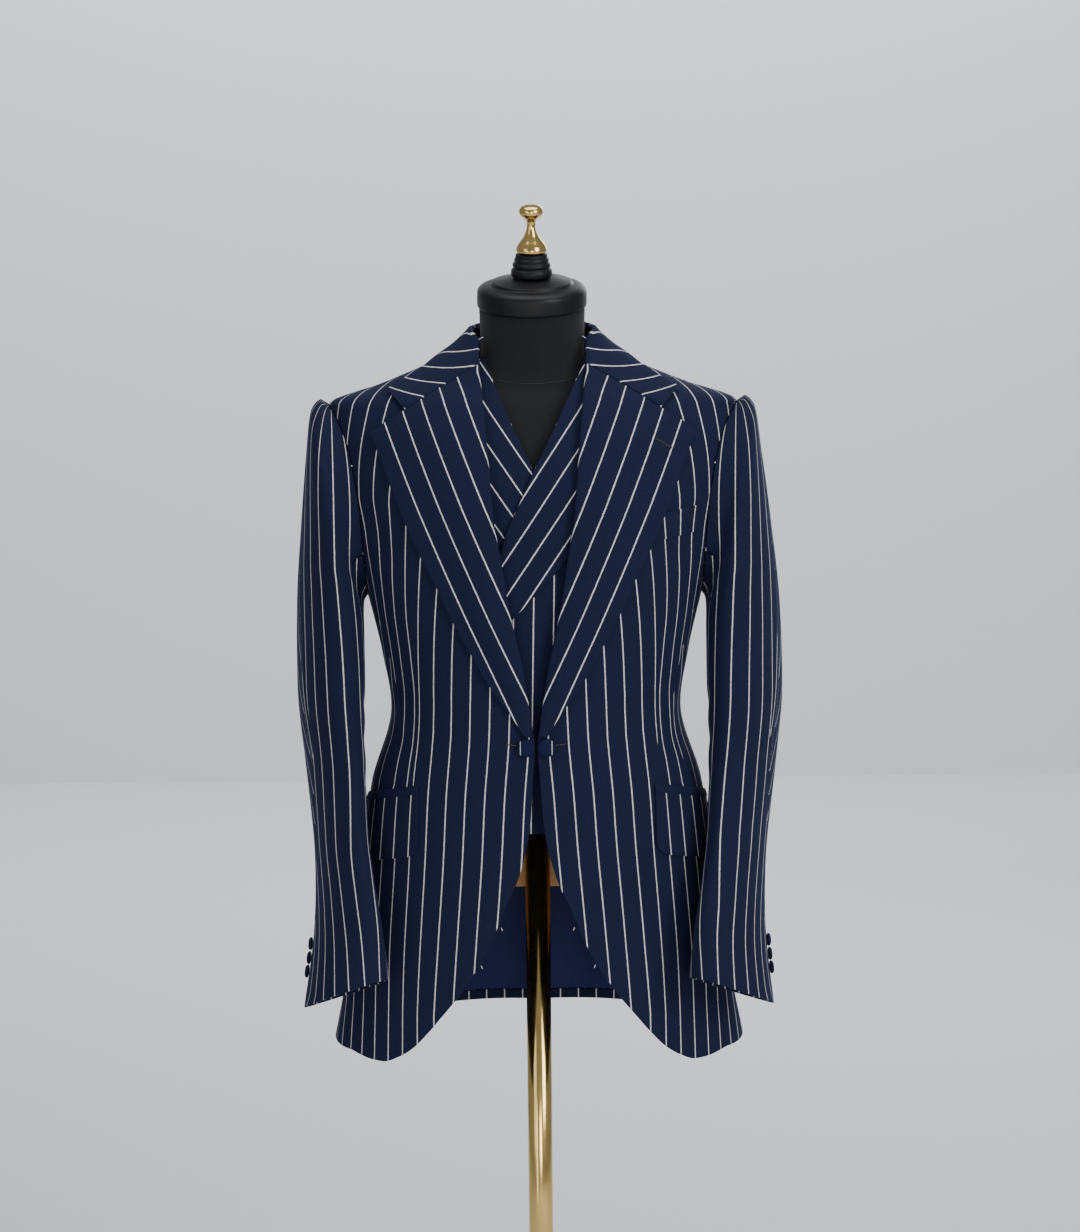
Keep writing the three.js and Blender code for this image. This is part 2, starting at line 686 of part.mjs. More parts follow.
// The collar's fall lies over the shoulders: its fold and its outer edge by angle from centre front.
const gorgeTurn = jacketBody.turnAtX(GORGE.x, GORGE.z);
const collarTipTurn = jacketBody.turnAtX(COLLAR_TIP.x, COLLAR_TIP.z);
const COLLAR_FOLD = [
  { share: 0, turn: gorgeTurn, z: GORGE.z },
  { share: 0.12, turn: 52, z: 1446 },
  { share: 0.26, turn: 72, z: 1468 },
  { share: 0.42, turn: 95, z: 1475 },
  { share: 0.7, turn: 138, z: 1480 },
  { share: 1, turn: 180, z: 1483 },
];
const COLLAR_EDGE = [
  { share: 0, turn: collarTipTurn, z: COLLAR_TIP.z },
  { share: 0.2, turn: 77, z: 1434 },
  { share: 0.42, turn: 95, z: 1454 },
  { share: 0.7, turn: 138, z: 1447 },
  { share: 1, turn: 180, z: 1440 },
];
const collarFold = curves(COLLAR_FOLD, "share");
const collarEdge = curves(COLLAR_EDGE, "share");
const COLLAR_GAP = 1.2; // degrees between the collar's end and the lapel along the gorge seam
const gorgeEnd = (u) => {
  const [x, z] = twoLegs(GORGE, NOTCH, COLLAR_TIP, NOTCH_SHARE)(u);
  const lifted = z + COLLAR_GAP * (1 - ease(NOTCH_SHARE, 1, u));
  return [jacketBody.turnAtX(x, lifted), lifted];
};
const fallStraight = coons(
  (u) => [0, 1].map((k) => mix(gorgeEnd(0)[k], gorgeEnd(1)[k], u)),
  (u) => [180, mix(COLLAR_FOLD.at(-1).z, COLLAR_EDGE.at(-1).z, u)],
  (v) => [collarFold.turn(v), collarFold.z(v) + COLLAR_GAP * (1 - v)],
  (v) => [collarEdge.turn(v), collarEdge.z(v)],
);
// The collar's end follows the gorge and its own notch edge, and that corner fades out along the collar.
function halfFall(u, v) {
  const fade = 1 - ease(0, 0.3, v);
  return fallStraight(u, v).map((value, k) => {
    const corner = gorgeEnd(u)[k] - mix(gorgeEnd(0)[k], gorgeEnd(1)[k], u);
    return value + corner * fade;
  });
}
const COLLAR_LIFT = 3.4;
wall("jacket_collar", "cloth", {
  columns: 8,
  rows: 32,
  place: (u, v) => {
    const [turn, z] = halfFall(u, 1 - Math.abs(2 * v - 1));
    return mirrored(jacketBody.point(turn, z), v < 0.5 ? 1 : -1);
  },
  lower: () => COLLAR_LIFT,
  thick: LAPEL_CLOTH,
});

// The collar's stand rises from the neck seam to the fold, inside the fall.
const STAND_FRONT = 62; // degrees from centre front where the stand begins
wall("jacket_collar_stand", "cloth", {
  columns: 20,
  rows: 1,
  place: (u, v) => {
    const turn = mix(STAND_FRONT, 360 - STAND_FRONT, u);
    const fromFront = Math.min(turn, 360 - turn);
    const top = curve(COLLAR_FOLD.slice(2), "turn", "z")(fromFront) + COLLAR_LIFT - 2;
    return jacketBody.point(turn, mix(NECK_SEAM + 1, top, v));
  },
  lower: () => -1.2,
});

// ---------------------------------------------------------------- sleeves
const sleeve = curves(SLEEVE_SECTIONS, "along");
const sleeveSeams = curves(SLEEVE_SEAMS, "along");
const SLEEVE_CLEARANCE = 0.9; // air between the armhole's edge and the sleeve's
const rightSwell = curve(RIGHT_SLEEVE_SWELL, "along", "width");
function sleevePoint(angle, along, sign) {
  const round = radians(angle);
  const swell = sign > 0 ? rightSwell(along) / 2 : 0;
  const turnIn = radians(sleeve.turnIn(along));
  const out = (sleeve.out(along) + swell) * Math.cos(round);
  const forward = sleeve.depth(along) * Math.sin(round);
  const ring = new THREE.Vector3(
    sleeve.x(along) + swell + out * Math.cos(turnIn) - forward * Math.sin(turnIn),
    sleeve.y(along) - out * Math.sin(turnIn) - forward * Math.cos(turnIn),
    sleeve.z(along) + sleeve.up(along) * Math.cos(round) + sleeve.rise(along) * Math.sin(round),
  );
  const head = SLEEVE_SECTIONS[0].along;
  if (along >= head) return ring;
  const [turn, z] = armhole(jacketBody, ARMHOLE, angle);
  const seam = jacketBody.point(turn, z);
  seam.x += SLEEVE_CLEARANCE;
  return seam.lerp(ring, along / head);
}
const sleeveAxis = (sign) => (point) => {
  let best = SLEEVE_SECTIONS[0];
  for (const row of SLEEVE_SECTIONS)
    if (Math.abs(row.z - point.z) < Math.abs(best.z - point.z)) best = row;
  return new THREE.Vector3(sign * best.x, best.y, point.z);
};
const SLEEVE_ROWS = 16;
// Rows of a sleeve are closest at its head, where it rolls over the armhole.
const sleeveAlong = (v) => v ** 1.5;
const SLEEVE_SEAM = 0.5; // degrees round the sleeve

for (const side of SIDES) {
  const sleevePlace = (from, to) => (u, v) => {
    const along = sleeveAlong(v);
    const angle = mix(from(along) + SLEEVE_SEAM, to(along) - SLEEVE_SEAM, u);
    return mirrored(sleevePoint(angle, along, side.sign), side.sign);
  };
  wall(`jacket_sleeve_top_${side.name}`, "cloth", {
    columns: 10,
    rows: SLEEVE_ROWS,
    place: sleevePlace(sleeveSeams.hind, sleeveSeams.fore),
    insideOf: sleeveAxis(side.sign),
  });
  wall(`jacket_sleeve_under_${side.name}`, "cloth", {
    columns: 7,
    rows: SLEEVE_ROWS,
    place: sleevePlace(sleeveSeams.fore, (along) => sleeveSeams.hind(along) + 360),
    insideOf: sleeveAxis(side.sign),
  });
}

// ---------------------------------------------------------------- pockets
const FLAP_HEIGHT = 68;
const FLAP_FRONT_X = 126;
const FLAP_BACK_TURN = 97;
const FLAP_CORNER = 14;
const FLAP_DROP = 26; // how far the flap's top falls towards the side
const POCKET_TOP = 986;
const JET_HEIGHT = 8;
const pocketFrontTurn = jacketBody.turnAtX(FLAP_FRONT_X, POCKET_TOP);
const pocketTurn = (u) => mix(pocketFrontTurn, FLAP_BACK_TURN, u);
const pocketTop = (u) => POCKET_TOP - FLAP_DROP * u;
const pocketWidth = radians(FLAP_BACK_TURN - pocketFrontTurn) * jacketBody.reach(80, POCKET_TOP);
function flapDepth(u) {
  const fromEnd = Math.min(u, 1 - u) * pocketWidth;
  const short = Math.max(0, FLAP_CORNER - fromEnd);
  return FLAP_HEIGHT - FLAP_CORNER + Math.sqrt(FLAP_CORNER ** 2 - short ** 2);
}
// More columns near the flap's rounded corners.
const endsFirst = (u) => u - (0.6 * Math.sin(2 * Math.PI * u)) / (2 * Math.PI);

for (const side of SIDES) {
  wall(`jacket_flap_${side.name}`, "cloth", {
    columns: 10,
    rows: 2,
    place: (u, v) => {
      const across = endsFirst(u);
      const z = pocketTop(across) - flapDepth(across) * (1 - v);
      return mirrored(jacketBody.point(pocketTurn(across), z), side.sign);
    },
    lower: (u, v) => LAY_GAP + 1.2 * (1 - v),
  });
  wall(`jacket_jet_${side.name}`, "cloth", {
    columns: 6,
    rows: 1,
    place: (u, v) =>
      mirrored(jacketBody.point(pocketTurn(u), pocketTop(u) + SEAM_GAP + JET_HEIGHT * v), side.sign),
    lower: () => 0.9,
    thick: 1.2,
  });
}

const WELT = { innerX: 118, outerX: 174, innerZ: 1282, outerZ: 1291.5, height: 28 };
wall("jacket_breast_welt", "cloth", {
  columns: 4,
  rows: 2,
  place: (u, v) => {
    const x = mix(WELT.innerX, WELT.outerX, u);
    const z = mix(WELT.innerZ, WELT.outerZ, u) - WELT.height * (1 - v);
    return jacketBody.point(jacketBody.turnAtX(x, z), z);
  },
  lower: () => 0.8,
  thick: 1.3,
});

// ---------------------------------------------------------------- buttons
const BUTTON_SEGMENTS = 14;
const coveredButton = (radius, height) => [
  { radius: radius * 0.8, height: 0 },
  { radius, height: height * 0.35 },
  { radius: radius * 0.85, height: height * 0.8 },
  { radius: radius * 0.4, height },
];

// Places a turned solid with its foot at a point and its axis along a direction.
function standingOn(foot, direction) {
  const spin = new THREE.Quaternion().setFromUnitVectors(new THREE.Vector3(0, 0, 1), direction);
  return (point) => point.applyQuaternion(spin).add(foot);
}

function button(name, surface, radius, height, lift) {
  const step = 0.5;
  const centre = surface(0, 0);
  const across = surface(step, 0).sub(centre);
  const up = surface(0, step).sub(centre);
  const normal = across.cross(up).normalize();
  if (normal.dot(centre.clone().sub(surface.inside(centre))) < 0) normal.negate();
  const foot = centre.clone().addScaledVector(normal, lift);
  stack(name, "cloth", turnedRings(coveredButton(radius, height), BUTTON_SEGMENTS, standingOn(foot, normal)));
}

const LINK_BUTTON = { x: 10.8, z: 1038, radius: 9.8, height: 6, lift: 1.2 };
for (const side of SIDES) {
  const surface = (a, b) => {
    const z = LINK_BUTTON.z + b;
    return mirrored(jacketBody.point(jacketBody.turnAtX(LINK_BUTTON.x + a, z), z), side.sign);
  };
  surface.inside = bodyAxis;
  const { radius, height, lift } = LINK_BUTTON;
  button(`jacket_link_button_${side.name}`, surface, radius, height, lift);
}

const CUFF_BUTTONS = { count: 3, radius: 7.2, height: 4.5, pitch: 14.9, first: 40, angle: -62, lift: 0.6 };
const cuffEnd = sleevePoint(CUFF_BUTTONS.angle, 1, -1);
const cuffStart = sleevePoint(CUFF_BUTTONS.angle, 0.9, -1);
const alongPerMm = 0.1 / cuffEnd.distanceTo(cuffStart);
for (const side of SIDES)
  for (let k = 0; k < CUFF_BUTTONS.count; k++) {
    const along = 1 - (CUFF_BUTTONS.first + k * CUFF_BUTTONS.pitch) * alongPerMm;
    const surface = (a, b) =>
      mirrored(sleevePoint(CUFF_BUTTONS.angle + a, along + b * alongPerMm, side.sign), side.sign);
    surface.inside = sleeveAxis(side.sign);
    const name = `jacket_cuff_button_${side.name}_${k + 1}`;
    button(name, surface, CUFF_BUTTONS.radius, CUFF_BUTTONS.height, CUFF_BUTTONS.lift);
  }

// ---------------------------------------------------------------- waistcoat
const waistcoatEdgeX = curve(WAISTCOAT_EDGE, "z", "x");
const shawlEdgeX = curve(SHAWL_EDGE, "z", "x");
const waistcoatShoulderZ = WAISTCOAT_ARMHOLE.z + WAISTCOAT_ARMHOLE.rise;
const waistcoatUnderarmZ = WAISTCOAT_ARMHOLE.z - WAISTCOAT_ARMHOLE.rise;

// The boundary of the front or the back at the side seam, the armhole and the shoulder seam.
function waistcoatFarTurn(z, isBack) {
  const gap = waistcoatBody.arc(SEAM_GAP / 2, 90, z) * (isBack ? 1 : -1);
  if (z <= waistcoatUnderarmZ || z >= waistcoatShoulderZ) return WAISTCOAT_SEAM + gap;
  const angle = armholeAngle(WAISTCOAT_ARMHOLE, z);
  return armhole(waistcoatBody, WAISTCOAT_ARMHOLE, isBack ? 360 - angle : angle)[0] + gap;
}

// The lower of the two fronts lies deeper where the other one crosses it.
function waistcoatPoint(turn, z, sign) {
  const point = waistcoatBody.point(turn, z);
  if (sign < 0) {
    const sunk = UNDERLAP * (1 - ease(62, 112, point.x));
    const reach = Math.hypot(point.x, point.y);
    point.x *= 1 - sunk / reach;
    point.y *= 1 - sunk / reach;
  }
  return mirrored(point, sign);
}

// The collar's inner edge: its foot passes the front edge by the overhang, which fades out higher up.
const SHAWL_INNER = { foot: 1222, top: 1442, overhang: 5, blend: 0.11 };
const shawlFoot = SHAWL_EDGE[0];
const shawlTop = SHAWL_EDGE.at(-1);
const WAISTCOAT_CLOTH = 1.4;

for (const side of SIDES) {
  wall(`waistcoat_front_${side.name}`, "cloth", {
    columns: 6,
    rows: 14,
    place: (u, v) => {
      const z = mix(WAISTCOAT_HEM, WAISTCOAT_TOP, v);
      const edge = waistcoatBody.turnAtX(waistcoatEdgeX(z), z);
      return waistcoatPoint(mix(edge, waistcoatFarTurn(z, false), u), z, side.sign);
    },
    lower: () => -WAISTCOAT_CLOTH,
    thick: WAISTCOAT_CLOTH,
  });
  const shawl = coons(
    (u) => [shawlFoot.x, mix(SHAWL_INNER.foot, shawlFoot.z, u)],
    (u) => [mix(waistcoatEdgeX(SHAWL_INNER.top), shawlTop.x, u), mix(SHAWL_INNER.top, shawlTop.z, u)],
    (v) => {
      const z = mix(SHAWL_INNER.foot, SHAWL_INNER.top, v);
      const past = clamp01(v / SHAWL_INNER.blend);
      return [waistcoatEdgeX(z) + SEAM_GAP * past - SHAWL_INNER.overhang * (1 - past), z];
    },
    (v) => {
      const z = mix(shawlFoot.z, shawlTop.z, v);
      return [shawlEdgeX(z), z];
    },
  );
  wall(`waistcoat_shawl_${side.name}`, "cloth", {
    columns: 3,
    rows: 12,
    place: (u, v) => {
      const [x, z] = shawl(u, v);
      return waistcoatPoint(waistcoatBody.turnAtX(x, z), z, side.sign);
    },
    lower: (u, v) => 1.2 + 1.3 * v,
    thick: WAISTCOAT_CLOTH,
  });
}

wall("waistcoat_back", "cloth", {
  columns: 12,
  rows: 12,
  place: (u, v) => {
    const z = mix(WAISTCOAT_HEM, WAISTCOAT_TOP, v);
    const far = waistcoatFarTurn(z, true);
    return waistcoatBody.point(mix(far, 360 - far, u), z);
  },
  lower: () => -WAISTCOAT_CLOTH,
  thick: WAISTCOAT_CLOTH,
});

const WAISTCOAT_BUTTONS = { count: 3, x: -28, lowest: 985, pitch: 62, radius: 7, height: 3, lift: 0.5 };
for (let k = 0; k < WAISTCOAT_BUTTONS.count; k++) {
  const surface = (a, b) => {
    const z = WAISTCOAT_BUTTONS.lowest + k * WAISTCOAT_BUTTONS.pitch + b;
    return waistcoatBody.point(waistcoatBody.turnAtX(WAISTCOAT_BUTTONS.x + a, z), z);
  };
  surface.inside = bodyAxis;
  const { radius, height, lift } = WAISTCOAT_BUTTONS;
  button(`waistcoat_button_${k + 1}`, surface, radius, height, lift);
}

// ---------------------------------------------------------------- dress form
const FORM_SEGMENTS = 28;
const FORM_RINGS = 20;
const neckLean = (z) => NECK_TILT * ease(1440, NECK_TOP, z);
const formRings = [];
for (let j = 0; j <= FORM_RINGS; j++) {
  const z = mix(FORM_SECTIONS[0].z, NECK_TOP, (j / FORM_RINGS) ** 0.8);
  const ring = [];
  for (let i = 0; i < FORM_SEGMENTS; i++) {
    const point = formBody.point((i / FORM_SEGMENTS) * 360, z);
    point.z += point.y * neckLean(z);
    ring.push(point);
  }
  formRings.push(ring);
}
stack("form_torso", "knit", formRings);

// Everything above the neck is turned about an axis that leans forward with the neck plate.
const neckAxis = new THREE.Vector3(0, -NECK_TILT, 1).normalize();
const aboveNeck = (height) =>
  standingOn(new THREE.Vector3(0, 0, NECK_TOP).addScaledVector(neckAxis, height), neckAxis);

const CAP_PROFILE = [
  { radius: 57, height: 0.5 },
  { radius: 59, height: 3 },
  { radius: 59, height: 17 },
  { radius: 57, height: 21.5 },
  { radius: 52, height: 24 },
  { radius: 43, height: 25.5 },
  { radius: 42, height: 28 },
  { radius: 30, height: 31 },
  { radius: 22, height: 32 },
];
const TURNING_PROFILE = [
  { radius: 20, height: 0.4 },
  { radius: 22, height: 4 },
  { radius: 22, height: 8.5 },
  { radius: 19.5, height: 11.5 },
  { radius: 20.5, height: 14 },
  { radius: 19.5, height: 17.5 },
  { radius: 17.5, height: 19.5 },
  { radius: 18, height: 22 },
  { radius: 16, height: 26 },
];
const FINIAL_PROFILE = [
  { radius: 10, height: 0.4 },
  { radius: 15, height: 3 },
  { radius: 16.5, height: 7 },
  { radius: 15.5, height: 10.5 },
  { radius: 11, height: 15 },
  { radius: 6.8, height: 22 },
  { radius: 5, height: 29 },
  { radius: 5, height: 33 },
  { radius: 7.5, height: 35.5 },
  { radius: 12, height: 40 },
  { radius: 12.8, height: 44.5 },
  { radius: 10, height: 50 },
  { radius: 5, height: 52.5 },
  { radius: 1, height: 53 },
];
const CAP_TOP = 32;
const TURNING_TOP = CAP_TOP + 26;
const TURNED_SEGMENTS = 24;
stack("form_neck_cap", "cap", turnedRings(CAP_PROFILE, TURNED_SEGMENTS, aboveNeck(0)));
stack("form_neck_turning", "cap", turnedRings(TURNING_PROFILE, TURNED_SEGMENTS, aboveNeck(CAP_TOP)));
stack("form_finial", "brass", turnedRings(FINIAL_PROFILE, TURNED_SEGMENTS, aboveNeck(TURNING_TOP)));

// The board that closes the back of the form's hip hangs under the torso, behind the pole.
const BOARD = { thickness: 6, bottom: 848, reach: 72, inset: 3 };
wall("form_hip_board", "wood", {
  columns: 10,
  rows: 2,
  place: (u, v) =>
    formBody
      .point(mix(180 - BOARD.reach, 180 + BOARD.reach, u), FORM_SECTIONS[0].z)
      .setZ(mix(BOARD.bottom, FORM_SECTIONS[0].z - SEAM_GAP, v)),
  lower: () => -BOARD.inset - BOARD.thickness,
  thick: BOARD.thickness,
});

// ---------------------------------------------------------------- stand
const POLE_RADIUS = 13.5;
const BASE = { radius: 180, thickness: 14, edge: 3 };
const upright = (height) => standingOn(new THREE.Vector3(0, 0, height), new THREE.Vector3(0, 0, 1));
const BASE_PROFILE = [
  { radius: BASE.radius - 1, height: 0 },
  { radius: BASE.radius, height: 1 },
  { radius: BASE.radius, height: BASE.thickness - BASE.edge },
  { radius: BASE.radius - BASE.edge, height: BASE.thickness },
];
stack("stand_base", "brass", turnedRings(BASE_PROFILE, 48, upright(0)));
const poleFoot = BASE.thickness + SEAM_GAP;
const POLE_PROFILE = [
  { radius: POLE_RADIUS, height: 0 },
  { radius: POLE_RADIUS, height: FORM_SECTIONS[0].z - SEAM_GAP - poleFoot },
];
stack("stand_pole", "brass", turnedRings(POLE_PROFILE, TURNED_SEGMENTS, upright(poleFoot)));

// A turned ring: a closed profile carried round the pole.
function hoop(name, finish, profile, segments) {
  const rings = turnedRings(profile, segments, upright(0));
  const points = rings.flat();
  const triangles = [];
  for (let j = 0; j < profile.length; j++)
    for (let i = 0; i < segments; i++) {
      const low = j * segments;
      const high = ((j + 1) % profile.length) * segments;
      const next = (i + 1) % segments;
      triangles.push([low + i, low + next, high + next], [low + i, high + next, high + i]);
    }
  add(name, finish, points, triangles);
}
const POLE_COLLAR = { inner: POLE_RADIUS + SEAM_GAP, outer: 30, height: 44, neck: 20 };
hoop(
  "stand_collar",
  "brass",
  [
    { radius: POLE_COLLAR.inner, height: poleFoot },
    { radius: POLE_COLLAR.outer, height: poleFoot },
    { radius: POLE_COLLAR.outer, height: poleFoot + 6 },
    { radius: POLE_COLLAR.neck, height: poleFoot + 12 },
    { radius: POLE_COLLAR.neck, height: poleFoot + POLE_COLLAR.height - 2 },
    { radius: POLE_COLLAR.neck - 2, height: poleFoot + POLE_COLLAR.height },
    { radius: POLE_COLLAR.inner, height: poleFoot + POLE_COLLAR.height },
  ],
  TURNED_SEGMENTS,
);

export default suit;
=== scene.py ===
"""A chalk-striped suit jacket over a crossed shawl-collar waistcoat, on a dress form with a pole stand.

Sizes are in millimetres until a mesh is made, and "left" and "right" are those of a viewer in front.
"""

import logging
import math
from dataclasses import dataclass
from enum import Enum
from typing import Callable, Sequence

import bmesh
import bpy
import numpy as np
from mathutils import Matrix, Vector


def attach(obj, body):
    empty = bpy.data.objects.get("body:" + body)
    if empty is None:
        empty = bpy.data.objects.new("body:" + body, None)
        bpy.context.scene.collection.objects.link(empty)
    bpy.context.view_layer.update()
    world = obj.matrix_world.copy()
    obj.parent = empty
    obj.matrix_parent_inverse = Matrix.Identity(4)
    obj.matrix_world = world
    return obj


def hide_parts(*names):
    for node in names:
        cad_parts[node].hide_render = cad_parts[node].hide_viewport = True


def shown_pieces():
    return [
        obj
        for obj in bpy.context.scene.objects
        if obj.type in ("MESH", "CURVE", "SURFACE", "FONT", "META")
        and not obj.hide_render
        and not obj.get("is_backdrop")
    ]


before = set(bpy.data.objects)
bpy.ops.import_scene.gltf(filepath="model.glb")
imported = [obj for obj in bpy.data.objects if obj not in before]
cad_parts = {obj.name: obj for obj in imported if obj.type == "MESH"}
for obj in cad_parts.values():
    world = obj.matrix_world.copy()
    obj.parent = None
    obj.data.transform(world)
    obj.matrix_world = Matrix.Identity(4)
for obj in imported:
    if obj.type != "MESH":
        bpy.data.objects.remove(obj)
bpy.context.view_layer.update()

LOG = logging.getLogger("suit")
Array = np.ndarray
Place = Callable[[Array, Array], Array]
Pair = tuple[Array, Array]
Grain = Callable[[Array, Array], Pair]
Tree = bpy.types.NodeTree
Socket = bpy.types.NodeSocket

MM = 0.001
CLOTH = 1.6
LAPEL_CLOTH = 2.0
LINING = 1.0
WAISTCOAT_CLOTH = 1.4
SEAM_GAP = 0.4
STRIPE_PITCH = 21.3
NO_DART = 10**6  # a column past every grid


class Side(Enum):
    """The viewer's left or right, with the sign of its x."""

    LEFT = -1
    RIGHT = 1

    @property
    def label(self) -> str:
        """The side's word in a piece's name."""
        return self.name.lower()


class Held(Enum):
    """How a sheet of cloth is held."""

    HUNG = "hung"
    FOLDED = "folded"


# ---------------------------------------------------------------- numbers and curves
def mix(a: Array | float, b: Array | float, t: Array | float) -> Array | float:
    """The value a share t of the way from a to b."""
    return a + (b - a) * t


def ease(start: float, end: float, value: Array | float) -> Array | float:
    """A soft step from 0 at start to 1 at end."""
    t = np.clip((np.asarray(value, float) - start) / (end - start), 0, 1)
    return t * t * (3 - 2 * t)


class Curve:
    """A smooth curve through pairs of numbers, with no overshoot between them."""

    def __init__(self, *pairs: tuple[float, float]) -> None:
        """Keeps the pairs and works out the slope at each.

        Args:
            pairs: (where, value), in rising order of where.
        """
        self.at, self.value = np.array(pairs, float).T
        slope = np.diff(self.value) / np.diff(self.at)
        product, total = slope[:-1] * slope[1:], slope[:-1] + slope[1:]
        inner = np.where(product > 0, 2 * product / np.where(product > 0, total, 1), 0)
        self.slope = np.concatenate([slope[:1], inner, slope[-1:]])

    def __call__(self, at: Array | float) -> Array:
        """The curve's value.

        Args:
            at: one place or an array of them.

        Returns:
            The value at each place, held level beyond the ends.
        """
        i = np.clip(np.searchsorted(self.at, at) - 1, 0, len(self.at) - 2)
        width = self.at[i + 1] - self.at[i]
        t = np.clip((at - self.at[i]) / width, 0, 1)
        rise = (3 - 2 * t) * t * t
        start = (t - 2 * t * t + t**3) * width * self.slope[i]
        end = (t**3 - t * t) * width * self.slope[i + 1]
        return mix(self.value[i], self.value[i + 1], rise) + start + end


def coons(bottom: Callable, top: Callable, left: Callable, right: Callable) -> Callable:
    """A patch blended from its four edges.

    Args:
        bottom: the edge at v = 0, a function of u that returns (a, b).
        top: the edge at v = 1.
        left: the edge at u = 0, a function of v.
        right: the edge at u = 1.

    Returns:
        A function of (u, v) that returns (a, b).
    """

    def patch(u: Array, v: Array) -> Pair:
        """(a, b) at shares u and v.

        Args:
            u: share across the piece.
            v: share along it.

        Returns:
            (a, b) at the shares.
        """
        zero, one = np.zeros_like(u), np.ones_like(u)
        edges = zip(bottom(u), top(u), left(v), right(v), bottom(zero), bottom(one), top(zero), top(one))
        low, high = (
            mix(b, t, v) + mix(l, r, u) - mix(mix(b0, b1, u), mix(t0, t1, u), v)
            for b, t, l, r, b0, b1, t0, t1 in edges
        )
        return low, high

    return patch


@dataclass(frozen=True)
class Fold:
    """A soft ridge, or a trough where its height is negative, along a bent line on a surface."""

    path: tuple[tuple[float, float], ...]
    height: float
    width: float

    def relief(self, a: Array, b: Array, scale: float) -> Array:
        """How far the fold lifts each place.

        Args:
            a: first coordinate of the places, in the path's units.
            b: second coordinate, in millimetres.
            scale: millimetres to one unit of a.

        Returns:
            The lift in millimetres.
        """
        lift = np.zeros(np.broadcast(a, b).shape)
        count = len(self.path) - 1
        for k in range(count):
            (a0, b0), (a1, b1) = self.path[k], self.path[k + 1]
            run = np.array([(a1 - a0) * scale, b1 - b0])
            away = (a - a0) * scale, b - b0
            share = np.clip((away[0] * run[0] + away[1] * run[1]) / (run @ run), 0, 1)
            distance = np.hypot(away[0] - share * run[0], away[1] - share * run[1])
            whole = (k + share) / count
            fade = ease(0, 0.3, whole) * ease(1, 0.7, whole)
            lift = np.maximum(lift, np.exp(-((distance / self.width) ** 2)) * fade)
        return self.height * lift


